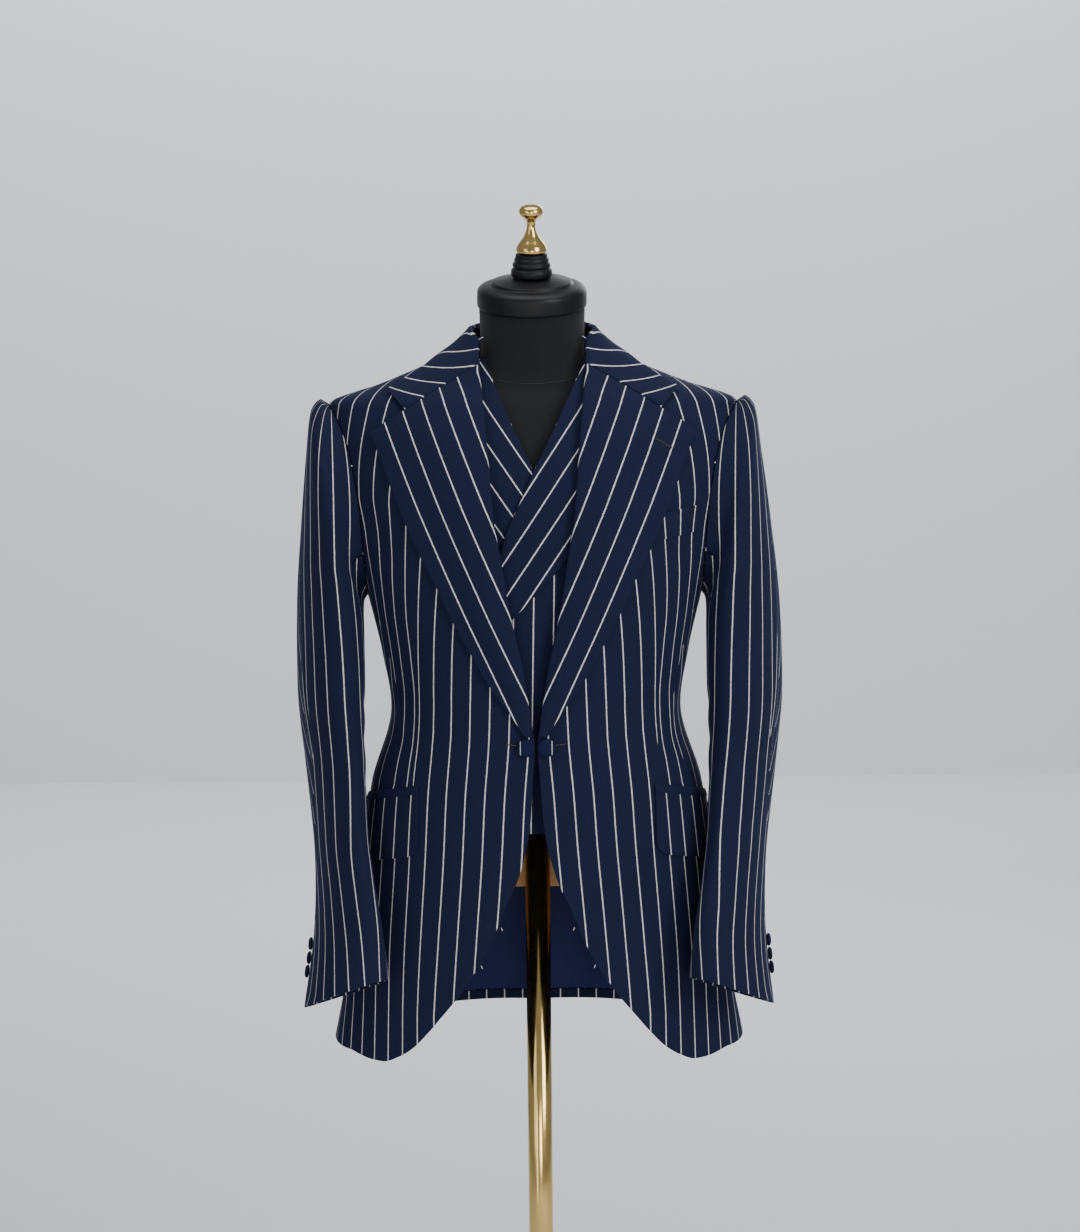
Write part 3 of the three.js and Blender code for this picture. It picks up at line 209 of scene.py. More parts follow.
# ---------------------------------------------------------------- the surfaces that cloth lies on
class Body:
    """A body of level superellipse sections. Its turn is the angle from centre front to the right."""

    def __init__(self, sections: Sequence[tuple], relief: Callable | None = None) -> None:
        """Draws curves through the sections.

        Args:
            sections: rows of (z, half width, front reach, back reach, roundness).
            relief: the lift of flutes and folds at (turn, z).
        """
        columns = list(zip(*sections))
        self.half_width, self.front, self.back, self.roundness = (
            Curve(*zip(columns[0], column)) for column in columns[1:]
        )
        self.relief = relief

    def reach(self, turn: Array, z: Array) -> Array:
        """Distance of the surface from the axis.

        Args:
            turn: angles from centre front.
            z: heights.

        Returns:
            The distances.
        """
        angle = np.radians(turn)
        depth = np.where(np.cos(angle) > 0, self.front(z), self.back(z))
        power = self.roundness(z)
        across = np.abs(np.sin(angle) / self.half_width(z)) ** power
        along = np.abs(np.cos(angle) / depth) ** power
        reach = (across + along) ** (-1 / power)
        return reach if self.relief is None else reach + self.relief(turn, z)

    def point(self, turn: Array, z: Array) -> Array:
        """Places of the surface, as an array whose last axis is x, y, z.

        Args:
            turn: angles from centre front.
            z: heights.

        Returns:
            The places.
        """
        turn, z = np.broadcast_arrays(turn, z)
        reach, angle = self.reach(turn, z), np.radians(turn)
        return np.stack([reach * np.sin(angle), -reach * np.cos(angle), z + 0.0], axis=-1)

    def normal(self, turn: Array, z: Array) -> Array:
        """Outward unit normals of the surface.

        Args:
            turn: angles from centre front.
            z: heights.

        Returns:
            The unit normals.
        """
        round_it = self.point(turn + 0.4, z) - self.point(turn - 0.4, z)
        upward = self.point(turn, z + 1.0) - self.point(turn, z - 1.0)
        crossed = np.cross(round_it, upward)
        return crossed / np.linalg.norm(crossed, axis=-1, keepdims=True)

    def raised(self, turn: Array, z: Array, height: Array | float) -> Array:
        """Places at a height above the surface, along its normals."""
        height = np.broadcast_to(height, np.broadcast(turn, z).shape)
        return self.point(turn, z) + self.normal(turn, z) * height[..., None]

    def _turn_where(self, axis: int, value: Array, z: Array, low: float, high: float) -> Array:
        """The turn between two others at which one coordinate has a value, found by halving.

        Args:
            axis: 0 for x, 1 for y.
            value: the coordinates looked for.
            z: their heights.
            low: the turn where the coordinate is least.
            high: the turn where it is greatest.

        Returns:
            The turns.
        """
        value, z = np.broadcast_arrays(np.asarray(value, float), z)
        lows, highs = np.full(value.shape, low), np.full(value.shape, high)
        for _ in range(26):
            middle = (lows + highs) / 2
            under = self.point(middle, z)[..., axis] < value
            lows, highs = np.where(under, middle, lows), np.where(under, highs, middle)
        return (lows + highs) / 2

    def turn_at_x(self, x: Array, z: Array) -> Array:
        """The turn at which the front half has this x."""
        return self._turn_where(0, x, z, -90.0, 90.0)

    def turn_at_y(self, y: Array, z: Array) -> Array:
        """The turn at which the side half has this y."""
        return self._turn_where(1, y, z, 0.0, 180.0)

    def arc(self, start: float, turn: Array, z: Array, steps: int = 28) -> Array:
        """Length of cloth round the body at each level.

        Args:
            start: the turn that the length is measured from.
            turn: the turns that it is measured to.
            z: their heights.
            steps: straight steps that the length is summed over.

        Returns:
            The length in millimetres, below zero where turn is below start.
        """
        turn, z = np.broadcast_arrays(turn, z)
        shares = np.linspace(0, 1, steps + 1).reshape(-1, *[1] * turn.ndim)
        points = self.point(start + (turn - start) * shares, np.broadcast_to(z, (steps + 1, *turn.shape)))
        length = np.linalg.norm(np.diff(points, axis=0), axis=-1).sum(axis=0)
        return np.sign(turn - start) * length

    def gap(self, z: Array, share: float = 0.5) -> Array:
        """A share of the seam gap, as an angle at the side."""
        return np.degrees(SEAM_GAP * share / self.reach(np.full_like(z, 90.0), z))


@dataclass(frozen=True)
class Armhole:
    """The armhole: its angle is 0 at the top, 90 in front and 180 under the arm."""

    z: float
    rise: float
    front: float
    back: float

    def spot(self, body: Body, angle: Array) -> Pair:
        """(turn, z) of the armhole's edge on a body.

        Args:
            body: the body that it is cut in.
            angle: angles round the armhole.

        Returns:
            The turns and the heights.
        """
        z = self.z + self.rise * np.cos(np.radians(angle))
        sine = np.sin(np.radians(angle))
        y = -np.where(sine > 0, self.front, self.back) * sine
        return body.turn_at_y(y, z), z

    def angle(self, z: Array) -> Array:
        """The angle on the front arc at a height."""
        return np.degrees(np.arccos(np.clip((z - self.z) / self.rise, -1, 1)))


def mirrored(points: Array, side: Side) -> Array:
    """The points on their own side, from points made for the right."""
    return points * np.array([side.value, 1.0, 1.0])


def body_axis(points: Array) -> Array:
    """The places of the upright axis at the points' heights."""
    return points * np.array([0.0, 0.0, 1.0])


# ---------------------------------------------------------------- finishes
def linear(code: str, alpha: float = 1.0) -> tuple[float, float, float, float]:
    """An sRGB hex colour as linear numbers.

    Args:
        code: the colour, such as "#171d38".
        alpha: its opacity.

    Returns:
        Red, green, blue and alpha for a socket.
    """
    parts = (int(code[i : i + 2], 16) / 255 for i in (1, 3, 5))
    red, green, blue = (p / 12.92 if p <= 0.04045 else ((p + 0.055) / 1.055) ** 2.4 for p in parts)
    return red, green, blue, alpha


def add(
    tree: Tree, kind: str, links: dict | None = None, values: dict | None = None, **settings: object
) -> bpy.types.Node:
    """Adds one node.

    Args:
        tree: the node tree.
        kind: the node's type.
        links: its input's name or number, and the output socket that feeds it.
        values: its input's name or number, and the constant set on it.
        settings: its own properties.

    Returns:
        The node.
    """
    made = tree.nodes.new(kind)
    for name, value in settings.items():
        setattr(made, name, value)
    for name, value in (values or {}).items():
        made.inputs[name].default_value = value
    for name, source in (links or {}).items():
        tree.links.new(source, made.inputs[name])
    return made


def sums(tree: Tree, operation: str, *terms: Socket | float) -> Socket:
    """The output of a Math node on sockets and numbers.

    Args:
        tree: the node tree.
        operation: what it works out.
        terms: its inputs in order, each a socket or a number.

    Returns:
        Its output socket.
    """
    links = {i: t for i, t in enumerate(terms) if isinstance(t, Socket)}
    values = {i: t for i, t in enumerate(terms) if i not in links}
    return add(tree, "ShaderNodeMath", links, values, operation=operation).outputs[0]


@dataclass(frozen=True)
class Finish:
    """What all finishes share: a name and how they close their node tree."""

    name: str

    def paint(self, tree: Tree) -> tuple[dict, dict]:
        """Adds the finish's own nodes; each finish gives its own.

        Args:
            tree: the node tree.

        Returns:
            The sockets that feed the Principled shader, and the constants set on it.
        """
        raise NotImplementedError

    def material(self) -> bpy.types.Material:
        """The finish as a material, made once."""
        known = bpy.data.materials.get(self.name)
        if known is not None:
            return known
        made = bpy.data.materials.new(self.name)
        made.use_nodes = True
        tree = made.node_tree
        tree.nodes.clear()
        links, values = self.paint(tree)
        shader = add(tree, "ShaderNodeBsdfPrincipled", links, values)
        add(tree, "ShaderNodeOutputMaterial", {"Surface": shader.outputs[0]})
        return made


@dataclass(frozen=True)
class ChalkStripeWorsted(Finish):
    """Worsted wool with a rope stripe of off-white yarn; the twill gives a dull, even face with no shine."""

    ground: str = "#0c1025"
    ground_light: str = "#111733"
    chalk: str = "#c4c3c2"
    line: float = 1.2
    twill: float = 2.4  # real twill is 0.7 mm, drawn as coarse as it needs to show
    pitch: float = STRIPE_PITCH

    def paint(self, tree: Tree) -> tuple[dict, dict]:
        """Stripes at multiples of the pitch across the grain, on a mottled twill ground."""
        flat = add(tree, "ShaderNodeUVMap", uv_map="grain").outputs["UV"]
        apart = add(tree, "ShaderNodeSeparateXYZ", {0: flat}).outputs
        shared = sums(tree, "FRACT", sums(tree, "ADD", sums(tree, "DIVIDE", apart[0], self.pitch * MM), 0.5))
        away = sums(tree, "MULTIPLY", sums(tree, "ABSOLUTE", sums(tree, "SUBTRACT", shared, 0.5)), self.pitch)
        slub = (1 / (0.9 * MM), 1 / (3.5 * MM), 0.0)
        slubs = add(tree, "ShaderNodeVectorMath", {0: flat}, {1: slub}, operation="MULTIPLY").outputs[0]
        yarn = add(tree, "ShaderNodeTexNoise", {"Vector": slubs}, {"Scale": 1.0, "Detail": 2.0}).outputs[0]
        ragged = sums(tree, "MULTIPLY_ADD", yarn, 0.9, sums(tree, "SUBTRACT", away, 0.45))
        edge = {"From Min": self.line / 2 + 0.4, "From Max": self.line / 2 - 0.4}
        soft = {"interpolation_type": "SMOOTHSTEP"}
        mask = add(tree, "ShaderNodeMapRange", {"Value": ragged}, edge, **soft).outputs[0]
        fibres = add(tree, "ShaderNodeTexNoise", {"Vector": flat}, {"Scale": 330.0, "Detail": 4.0}).outputs[0]
        clouds = add(tree, "ShaderNodeTexNoise", {"Vector": flat}, {"Scale": 14.0, "Detail": 2.0}).outputs[0]
        mottle = sums(tree, "MULTIPLY_ADD", clouds, 0.5, sums(tree, "MULTIPLY", fibres, 0.6))
        tones, chalk = {"A": linear(self.ground), "B": linear(self.ground_light)}, {"B": linear(self.chalk)}
        ground = add(tree, "ShaderNodeMix", {"Factor": mottle}, tones, data_type="RGBA").outputs["Result"]
        striped = {"Factor": mask, "A": ground}
        cloth = add(tree, "ShaderNodeMix", striped, chalk, data_type="RGBA").outputs["Result"]
        slope = sums(tree, "MULTIPLY", sums(tree, "ADD", apart[0], apart[1]), 2 * math.pi / (self.twill * MM))
        ribs = sums(tree, "MULTIPLY_ADD", sums(tree, "SINE", slope), 0.25, fibres)
        raised = sums(tree, "MULTIPLY_ADD", mask, 0.8, ribs)
        relief = {"Strength": 0.35, "Distance": 0.0004}
        bump = add(tree, "ShaderNodeBump", {"Height": raised}, relief).outputs[0]
        values = {
            "Roughness": 0.88,
            "Specular IOR Level": 0.16,
            "Sheen Weight": 0.07,
            "Sheen Roughness": 0.45,
            "Sheen Tint": linear("#7f8ed0"),
        }
        return {"Base Color": cloth, "Normal": bump}, values


@dataclass(frozen=True)
class Mottled(Finish):
    """Two near tones mottled by one noise, which also raises the face a little."""

    dark: str
    light: str
    cells: tuple[float, float, float]  # cells of the noise to a metre, each way
    detail: float
    relief: tuple[float, float]  # strength, and depth in metres
    values: tuple[tuple[str, float], ...]

    def noise(self, tree: Tree) -> Socket:
        """The noise, in the piece's own coordinates."""
        where = add(tree, "ShaderNodeTexCoord").outputs["Object"]
        return self.spread(tree, where)

    def spread(self, tree: Tree, where: Socket) -> Socket:
        """The noise over the given coordinates."""
        cells = {1: self.cells}
        drawn = add(tree, "ShaderNodeVectorMath", {0: where}, cells, operation="MULTIPLY").outputs[0]
        fine = {"Scale": 1.0, "Detail": self.detail}
        return add(tree, "ShaderNodeTexNoise", {"Vector": drawn}, fine).outputs[0]

    def paint(self, tree: Tree) -> tuple[dict, dict]:
        """Mixes the two tones and raises the face by the same noise.

        Args:
            tree: the node tree.

        Returns:
            The sockets that feed the Principled shader, and the constants set on it.
        """
        noise = self.noise(tree)
        tones = {"A": linear(self.dark), "B": linear(self.light)}
        colour = add(tree, "ShaderNodeMix", {"Factor": noise}, tones, data_type="RGBA").outputs["Result"]
        relief = dict(zip(("Strength", "Distance"), self.relief))
        bump = add(tree, "ShaderNodeBump", {"Height": noise}, relief).outputs[0]
        return {"Base Color": colour, "Normal": bump}, dict(self.values)


@dataclass(frozen=True)
class LiningSatin(Mottled):
    """Viscose lining satin; its long floats give a smooth face with a soft broad sheen."""

    dark: str = "#0e123b"
    light: str = "#141a4c"
    cells: tuple[float, float, float] = (420.0, 30.0, 0.0)
    detail: float = 3.0
    relief: tuple[float, float] = (0.2, 0.0002)
    values: tuple = (("Roughness", 0.45), ("Specular IOR Level", 0.14), ("Anisotropic", 0.4))

    def noise(self, tree: Tree) -> Socket:
        """The noise, drawn out along the cloth's grain."""
        return self.spread(tree, add(tree, "ShaderNodeUVMap", uv_map="grain").outputs["UV"])


@dataclass(frozen=True)
class CoveredButtonCloth(Mottled):
    """Navy cloth drawn tight over a button, smoother than the suiting; a stripe may cross it."""

    dark: str = "#0d1129"
    light: str = "#12173a"
    cells: tuple[float, float, float] = (900.0, 900.0, 900.0)
    detail: float = 3.0
    relief: tuple[float, float] = (0.4, 0.0003)
    values: tuple = (("Roughness", 0.85), ("Specular IOR Level", 0.12))
    stripe: str = "#a9a9ac"
    stripe_width: float = 0.9
    stripe_x: float = 0.0  # how far from the middle of the jacket the stripe runs; 0 for none

    def paint(self, tree: Tree) -> tuple[dict, dict]:
        """Adds the stripe to the mottled ground.

        Args:
            tree: the node tree.

        Returns:
            The sockets that feed the Principled shader, and the constants set on it.
        """
        links, values = super().paint(tree)
        if self.stripe_x:
            where = add(tree, "ShaderNodeTexCoord").outputs["Object"]
            across = sums(tree, "ABSOLUTE", add(tree, "ShaderNodeSeparateXYZ", {0: where}).outputs[0])
            away = sums(tree, "ABSOLUTE", sums(tree, "SUBTRACT", across, self.stripe_x * MM))
            striped = {"Factor": sums(tree, "LESS_THAN", away, self.stripe_width / 2 * MM)}
            striped["A"], chalk = links["Base Color"], {"B": linear(self.stripe)}
            cloth = add(tree, "ShaderNodeMix", striped, chalk, data_type="RGBA")
            links["Base Color"] = cloth.outputs["Result"]
        return links, values


@dataclass(frozen=True)
class JerseyCover(Finish):
    """Charcoal jersey stretched over the form; its fine wales scatter light softly."""

    dark: str = "#0f1113"
    light: str = "#14171a"
    wale: float = 2.2  # real wales are about 1 mm apart, drawn as coarse as they need to show

    def paint(self, tree: Tree) -> tuple[dict, dict]:
        """Upright wales crossed by a fine noise of courses.

        Args:
            tree: the node tree.

        Returns:
            The sockets that feed the Principled shader, and the constants set on it.
        """
        flat = add(tree, "ShaderNodeUVMap", uv_map="grain").outputs["UV"]
        apart = add(tree, "ShaderNodeSeparateXYZ", {0: flat}).outputs
        wales = sums(tree, "SINE", sums(tree, "MULTIPLY", apart[0], 2 * math.pi / (self.wale * MM)))
        loops = add(tree, "ShaderNodeTexNoise", {"Vector": flat}, {"Scale": 500.0, "Detail": 3.0}).outputs[0]
        tones = {"A": linear(self.dark), "B": linear(self.light)}
        colour = add(tree, "ShaderNodeMix", {"Factor": loops}, tones, data_type="RGBA").outputs["Result"]
        height, relief = sums(tree, "MULTIPLY_ADD", wales, 0.3, loops), {"Strength": 0.3, "Distance": 0.0003}
        bump = add(tree, "ShaderNodeBump", {"Height": height}, relief).outputs[0]
        values = {"Roughness": 0.9, "Specular IOR Level": 0.2, "Sheen Weight": 0.1, "Sheen Roughness": 0.5}
        return {"Base Color": colour, "Normal": bump}, values


@dataclass(frozen=True)
class Glossy(Mottled):
    """A mottled face whose gloss varies with its tone, and which may be raised by a finer peel."""

    gloss: tuple[float, float]  # least and greatest roughness
    peel: float  # cells of the orange peel to a metre; 0 for none

    def paint(self, tree: Tree) -> tuple[dict, dict]:
        """Varies the gloss of the mottled coat, and raises it by a finer peel.

        Args:
            tree: the node tree.

        Returns:
            The sockets that feed the Principled shader, and the constants set on it.
        """
        links, values = super().paint(tree)
        span = dict(zip(("To Min", "To Max"), self.gloss))
        links["Roughness"] = add(tree, "ShaderNodeMapRange", {"Value": self.noise(tree)}, span).outputs[0]
        if self.peel:
            where = add(tree, "ShaderNodeTexCoord").outputs["Object"]
            fine = {"Scale": self.peel, "Detail": 2.0}
            peel = add(tree, "ShaderNodeTexNoise", {"Vector": where}, fine).outputs[0]
            tree.links.new(peel, links["Normal"].node.inputs["Height"])
        return links, values


@dataclass(frozen=True)
class SatinBlackPaint(Glossy):
    """Satin black paint on turned wood; a soft gloss with the faintest orange peel."""

    dark: str = "#0a0b0d"
    light: str = "#0e0f12"
    cells: tuple[float, float, float] = (30.0, 30.0, 30.0)
    detail: float = 3.0
    relief: tuple[float, float] = (0.08, 0.0002)
    values: tuple = (("Specular IOR Level", 0.22),)
    gloss: tuple[float, float] = (0.36, 0.52)
    peel: float = 260.0


@dataclass(frozen=True)
class PolishedBrass(Glossy):
    """Polished brass; a warm mirror with fine polishing haze."""

    dark: str = "#c6a763"
    light: str = "#dcc07a"
    cells: tuple[float, float, float] = (40.0, 40.0, 40.0)
    detail: float = 4.0
    relief: tuple[float, float] = (0.03, 0.0005)
    values: tuple = (("Metallic", 1.0),)
    gloss: tuple[float, float] = (0.1, 0.24)
    peel: float = 0.0


@dataclass(frozen=True)
class VarnishedBoard(Mottled):
    """Bent plywood under amber varnish; upright grain with a glossy coat."""

    dark: str = "#a06a30"
    light: str = "#cf9450"
    cells: tuple[float, float, float] = (110.0, 110.0, 9.0)
    detail: float = 5.0
    relief: tuple[float, float] = (0.1, 0.0003)
    values: tuple = (("Roughness", 0.5), ("Coat Weight", 0.5), ("Coat Roughness", 0.15))


@dataclass(frozen=True)
class Even(Finish):
    """One even colour, its face raised a little by a noise."""

    colour: str
    cells: float
    relief: tuple[float, float]
    roughness: float

    def paint(self, tree: Tree) -> tuple[dict, dict]:
        """Raises the face and leaves the colour plain.

        Args:
            tree: the node tree.

        Returns:
            The sockets that feed the Principled shader, and the constants set on it.
        """
        where = add(tree, "ShaderNodeTexCoord").outputs["Object"]
        noise = add(tree, "ShaderNodeTexNoise", {"Vector": where}, {"Scale": self.cells}).outputs[0]
        relief = dict(zip(("Strength", "Distance"), self.relief))
        bump = add(tree, "ShaderNodeBump", {"Height": noise}, relief).outputs[0]
        return {"Normal": bump}, {"Base Color": linear(self.colour), "Roughness": self.roughness}


@dataclass(frozen=True)
class SewingThread(Even):
    """Twisted sewing thread, slightly shiny."""

    colour: str = "#0c0f1e"
    cells: float = 1500.0
    relief: tuple[float, float] = (0.5, 0.0002)
    roughness: float = 0.6


@dataclass(frozen=True)
class StudioPaper(Even):
    """Matt pale studio paper with a faint tooth."""

    colour: str = "#dcdde1"
    cells: float = 60.0
    relief: tuple[float, float] = (0.02, 0.001)
    roughness: float = 0.95


SUITING = ChalkStripeWorsted("Chalk stripe worsted")
SATIN = LiningSatin("Lining satin")
BUTTON_CLOTH = CoveredButtonCloth("Covered button cloth")
LINK_CLOTH = CoveredButtonCloth("Covered link button cloth", stripe_x=16.8)
JERSEY = JerseyCover("Charcoal jersey")
BLACK_PAINT = SatinBlackPaint("Satin black paint")
BRASS = PolishedBrass("Polished brass")
BOARD = VarnishedBoard("Varnished plywood")
DARK_THREAD = SewingThread("Navy sewing thread")
HOLE_THREAD = SewingThread("Buttonhole thread", "#3a2019")
TACK_THREAD = SewingThread("White tacking thread", "#d9dade")
COVER_THREAD = SewingThread("Form cover seam thread", "#08090b")
PAPER = StudioPaper("Studio paper")


class Slot(Enum):
    """The record's material slots."""

    SUITING = "suiting"
    BUTTON = "covered_button"
    LINING = "lining"
    KNIT = "knit_cover"
    CAP = "black_cap"
    BRASS = "brass"
    BOARD = "board_wood"


# ---------------------------------------------------------------- making pieces
def piece_from(
    bm: bmesh.types.BMesh, name: str, finish: Finish, slot: Slot, nodes: Sequence[str] = ()
) -> bpy.types.Object:
    """Turns a bmesh in metres into a finished piece that rides on the root.

    Args:
        bm: the mesh, which is freed.
        name: the piece's name.
        finish: its material.
        slot: the record's slot; not used.
        nodes: the CAD nodes that it stands for.

    Returns:
        The new object.
    """
    mesh = bpy.data.meshes.new(name)
    for face in bm.faces:
        face.smooth = True
    bm.to_mesh(mesh)
    bm.free()
    mesh.materials.append(finish.material())
    piece = bpy.data.objects.new(name, mesh)
    bpy.context.scene.collection.objects.link(piece)
    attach(piece, "root")
    if nodes:
        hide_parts(*nodes)
    return piece


@dataclass
class Cloth:
    """A piece of cloth that was cut flat: its outer face on a grid of shares u and v."""

    name: str
    place: Place
    grain: Grain
    columns: int
    rows: int
    flat: tuple[float, float]
    area: float
    nodes: tuple[str, ...] = ()
    thick: float = CLOTH
    edge: float = 0.45
    held: Held = Held.HUNG
    rests_on: tuple[str, ...] = ("form_cover",)
    dart_column: int = NO_DART
    dart_width: Callable[[Array], Array] = np.zeros_like
    finish: Finish = SUITING
    slot: Slot = Slot.SUITING
    inside: Callable[[Array], Array] = body_axis

    def grid_mesh(self) -> tuple[bmesh.types.BMesh, Array]:
        """The flat grid moved into place, with its grain as a UV map, and the grid's points."""
        u, v = np.meshgrid(
            np.linspace(0, 1, self.columns + 1), np.linspace(0, 1, self.rows + 1), indexing="ij"
        )
        points = self.place(u, v)
        across, along = np.broadcast_arrays(*self.grain(u, v))
        bm = bmesh.new()
        layer = bm.loops.layers.uv.new("grain")
        bmesh.ops.create_grid(bm, x_segments=self.columns, y_segments=self.rows, size=0.5)
        bm.verts.index_update()
        spots = [
            (round((vert.co.x + 0.5) * self.columns), round((vert.co.y + 0.5) * self.rows))
            for vert in bm.verts
        ]
        taken = self.dart_width(along)
        for face in bm.faces:
            past = min(spots[vert.index][0] for vert in face.verts) >= self.dart_column
            for loop in face.loops:
                i, j = spots[loop.vert.index]
                loop[layer].uv = ((across[i, j] + past * taken[i, j]) * MM, along[i, j] * MM)
        for vert, (i, j) in zip(bm.verts, spots):
            vert.co = Vector(points[i, j]) * MM
        return bm, points

    def sew(self) -> bpy.types.Object:
        """Makes the piece, with its thickness and its turned edges.

        Returns:
            The new object.
        """
        bm, points = self.grid_mesh()
        du, dv = np.gradient(points, axis=(0, 1))
        outward = np.einsum("ijk,ijk->ij", np.cross(du, dv), points - self.inside(points))
        if np.sign(outward).sum() < 0:
            bmesh.ops.reverse_faces(bm, faces=bm.faces)
        piece = piece_from(bm, self.name, self.finish, self.slot, self.nodes)
        solid = piece.modifiers.new("thickness", "SOLIDIFY")
        solid.thickness = self.thick * MM
        solid.offset = -1
        solid.use_even_offset = False
        rim = piece.modifiers.new("turned edge", "BEVEL")
        rim.width = self.edge * MM
        rim.segments = 2
        rim.limit_method = "ANGLE"
        rim.angle_limit = math.radians(62)
        list(self.rests_on)
        return piece


def rounded(profile: Sequence[tuple[float, float]], times: int = 2) -> list[tuple[float, float]]:
    """A turned profile with its corners cut back a few times, so that they read as rounded.

    Args:
        profile: rows of (radius, height).
        times: how often the corners are cut.

    Returns:
        The finer profile, with the same ends.
    """
    line = list(profile)
    for _ in range(times):
        finer = [line[0]]
        for (r0, h0), (r1, h1) in zip(line, line[1:]):
            finer += [(mix(r0, r1, s), mix(h0, h1, s)) for s in (0.22, 0.78)]
        line = finer + [line[-1]]
    return line


@dataclass
class Turning:
    """A piece turned about an axis: a button, a cap, a finial or a part of the stand."""

    name: str
    profile: Sequence[tuple[float, float]]
    foot: Vector
    axis: Vector
    finish: Finish
    slot: Slot
    nodes: tuple[str, ...] = ()
    steps: int = 64

    def turn(self) -> bpy.types.Object:
        """Spins the profile round its axis and closes both ends.

        Returns:
            The new object.
        """
        bm = bmesh.new()
        line = [bm.verts.new((radius * MM, 0, height * MM)) for radius, height in self.profile]
        edges = [bm.edges.new(pair) for pair in zip(line, line[1:])]
        bmesh.ops.spin(
            bm, geom=line + edges, cent=(0, 0, 0), axis=(0, 0, 1), dvec=(0, 0, 0), angle=2 * math.pi,
            steps=self.steps, use_merge=True, use_duplicate=False,
        )
        bmesh.ops.remove_doubles(bm, verts=bm.verts, dist=1e-6)
        bmesh.ops.holes_fill(bm, edges=bm.edges, sides=self.steps)
        bmesh.ops.recalc_face_normals(bm, faces=bm.faces)
        placed = Matrix.Translation(self.foot * MM) @ self.axis.to_track_quat("Z", "Y").to_matrix().to_4x4()
        bmesh.ops.transform(bm, matrix=placed, verts=bm.verts)
        return piece_from(bm, self.name, self.finish, self.slot, self.nodes)


@dataclass
class CoveredButton:
    """A covered button that stands on a piece of cloth."""

    name: str
    node: str
    surface: Callable  # the place at (a, b) steps from the button's middle
    axis: Callable[[Array], Array]  # what its face looks away from
    profile: Sequence[tuple[float, float]]
    lift: float
    finish: Finish
    steps: int

    def make(self) -> bpy.types.Object:
        """Turns the button about the cloth's normal.

        Returns:
            The new object.
        """
        centre = self.surface(0.0, 0.0)
        crossed = np.cross(self.surface(0.5, 0.0) - centre, self.surface(0.0, 0.5) - centre)
        normal = Vector(crossed / np.linalg.norm(crossed))
        if normal.dot(Vector(centre - self.axis(centre))) < 0:
            normal.negate()
        foot, line = Vector(centre) + normal * self.lift, rounded(self.profile)
        nodes = (self.node,)
        return Turning(self.name, line, foot, normal, self.finish, Slot.BUTTON, nodes, self.steps).turn()


def thread(name: str, path: Array, radius: float, finish: Finish, slot: Slot) -> bpy.types.Object:
    """A sewn thread as a round tube along a path.

    Args:
        name: the piece's name.
        path: its points in millimetres.
        radius: its radius in millimetres.
        finish: its material.
        slot: the record's slot.

    Returns:
        The new object.
    """
    curve = bpy.data.curves.new(name, "CURVE")
    curve.dimensions = "3D"
    curve.bevel_depth = radius * MM
    curve.bevel_resolution = 2
    curve.use_fill_caps = True
    spline = curve.splines.new("POLY")
    spline.points.add(len(path) - 1)
    for point, place in zip(spline.points, path):
        point.co = (*(place * MM), 1)
    made = bpy.data.objects.new(name, curve)
    bpy.context.scene.collection.objects.link(made)
    mesh = bpy.data.meshes.new_from_object(made)
    bpy.data.objects.remove(made)
    bm = bmesh.new()
    bm.from_mesh(mesh)
    bmesh.ops.recalc_face_normals(bm, faces=bm.faces)
    return piece_from(bm, name, finish, slot)


def rolled(base: Body, spot: Callable, share: float, radius: Callable, height: Callable) -> Place:
    """The outer face of cloth that folds over at u = 0 and lies on a body beyond the fold.

    Args:
        base: the body that it lies on.
        spot: (turn, z) at (u, v).
        share: share of u that goes round the fold.
        radius: radius of the fold at v.
        height: height of the outer face at (u, v) beyond the fold.

    Returns:
        A function of (u, v) that returns places on the right side.
    """

    def place(u: Array, v: Array) -> Array:
        """Places of the outer face."""
        beyond = np.clip((u - share) / (1 - share), 0, 1)
        turn, z = spot(beyond, v)
        top = height(beyond, v)
        points = base.raised(turn, z, top)
        normal = base.normal(turn, z)
        ahead = base.raised(*spot(np.full_like(u, 0.02), v), 0.0)
        inward = base.raised(*spot(np.zeros_like(u), v), 0.0) - ahead
        inward /= np.linalg.norm(inward, axis=-1, keepdims=True)
        round_it = np.pi * (1 - np.clip(u / share, 0, 1))
        size = radius(v)
        wrapped = inward * (size * np.sin(round_it))[..., None]
        sunk = normal * (size * (np.cos(round_it) - 1))[..., None]
        return np.where((u < share)[..., None], points + wrapped + sunk, points)

    return place


# ---------------------------------------------------------------- jacket
JACKET_ARMHOLE = Armhole(z=1294, rise=104, front=62, back=66)
JACKET_SECTIONS = (
    (680, 227, 113, 120, 2.05),
    (780, 208, 112, 114, 2.05),
    (880, 195, 113, 109, 2.1),
    (983, 181, 114, 102, 2.2),
    (1069, 158, 113, 92, 2.3),
    (1130, 167, 119, 101, 2.3),
    (1190, 181, 124, 111, 2.3),
    (1290, 207, 120, 116, 2.35),
    (1350, 216, 107, 108, 2.3),
    (1398, 220, 88, 94, 2.1),
    (1420, 163, 73, 84, 2),
    (1440, 115, 61, 76, 2),
    (1462, 76, 46, 67, 2),
    (1474, 66, 42, 64, 2),
    (1490, 61, 40, 61, 2),
)
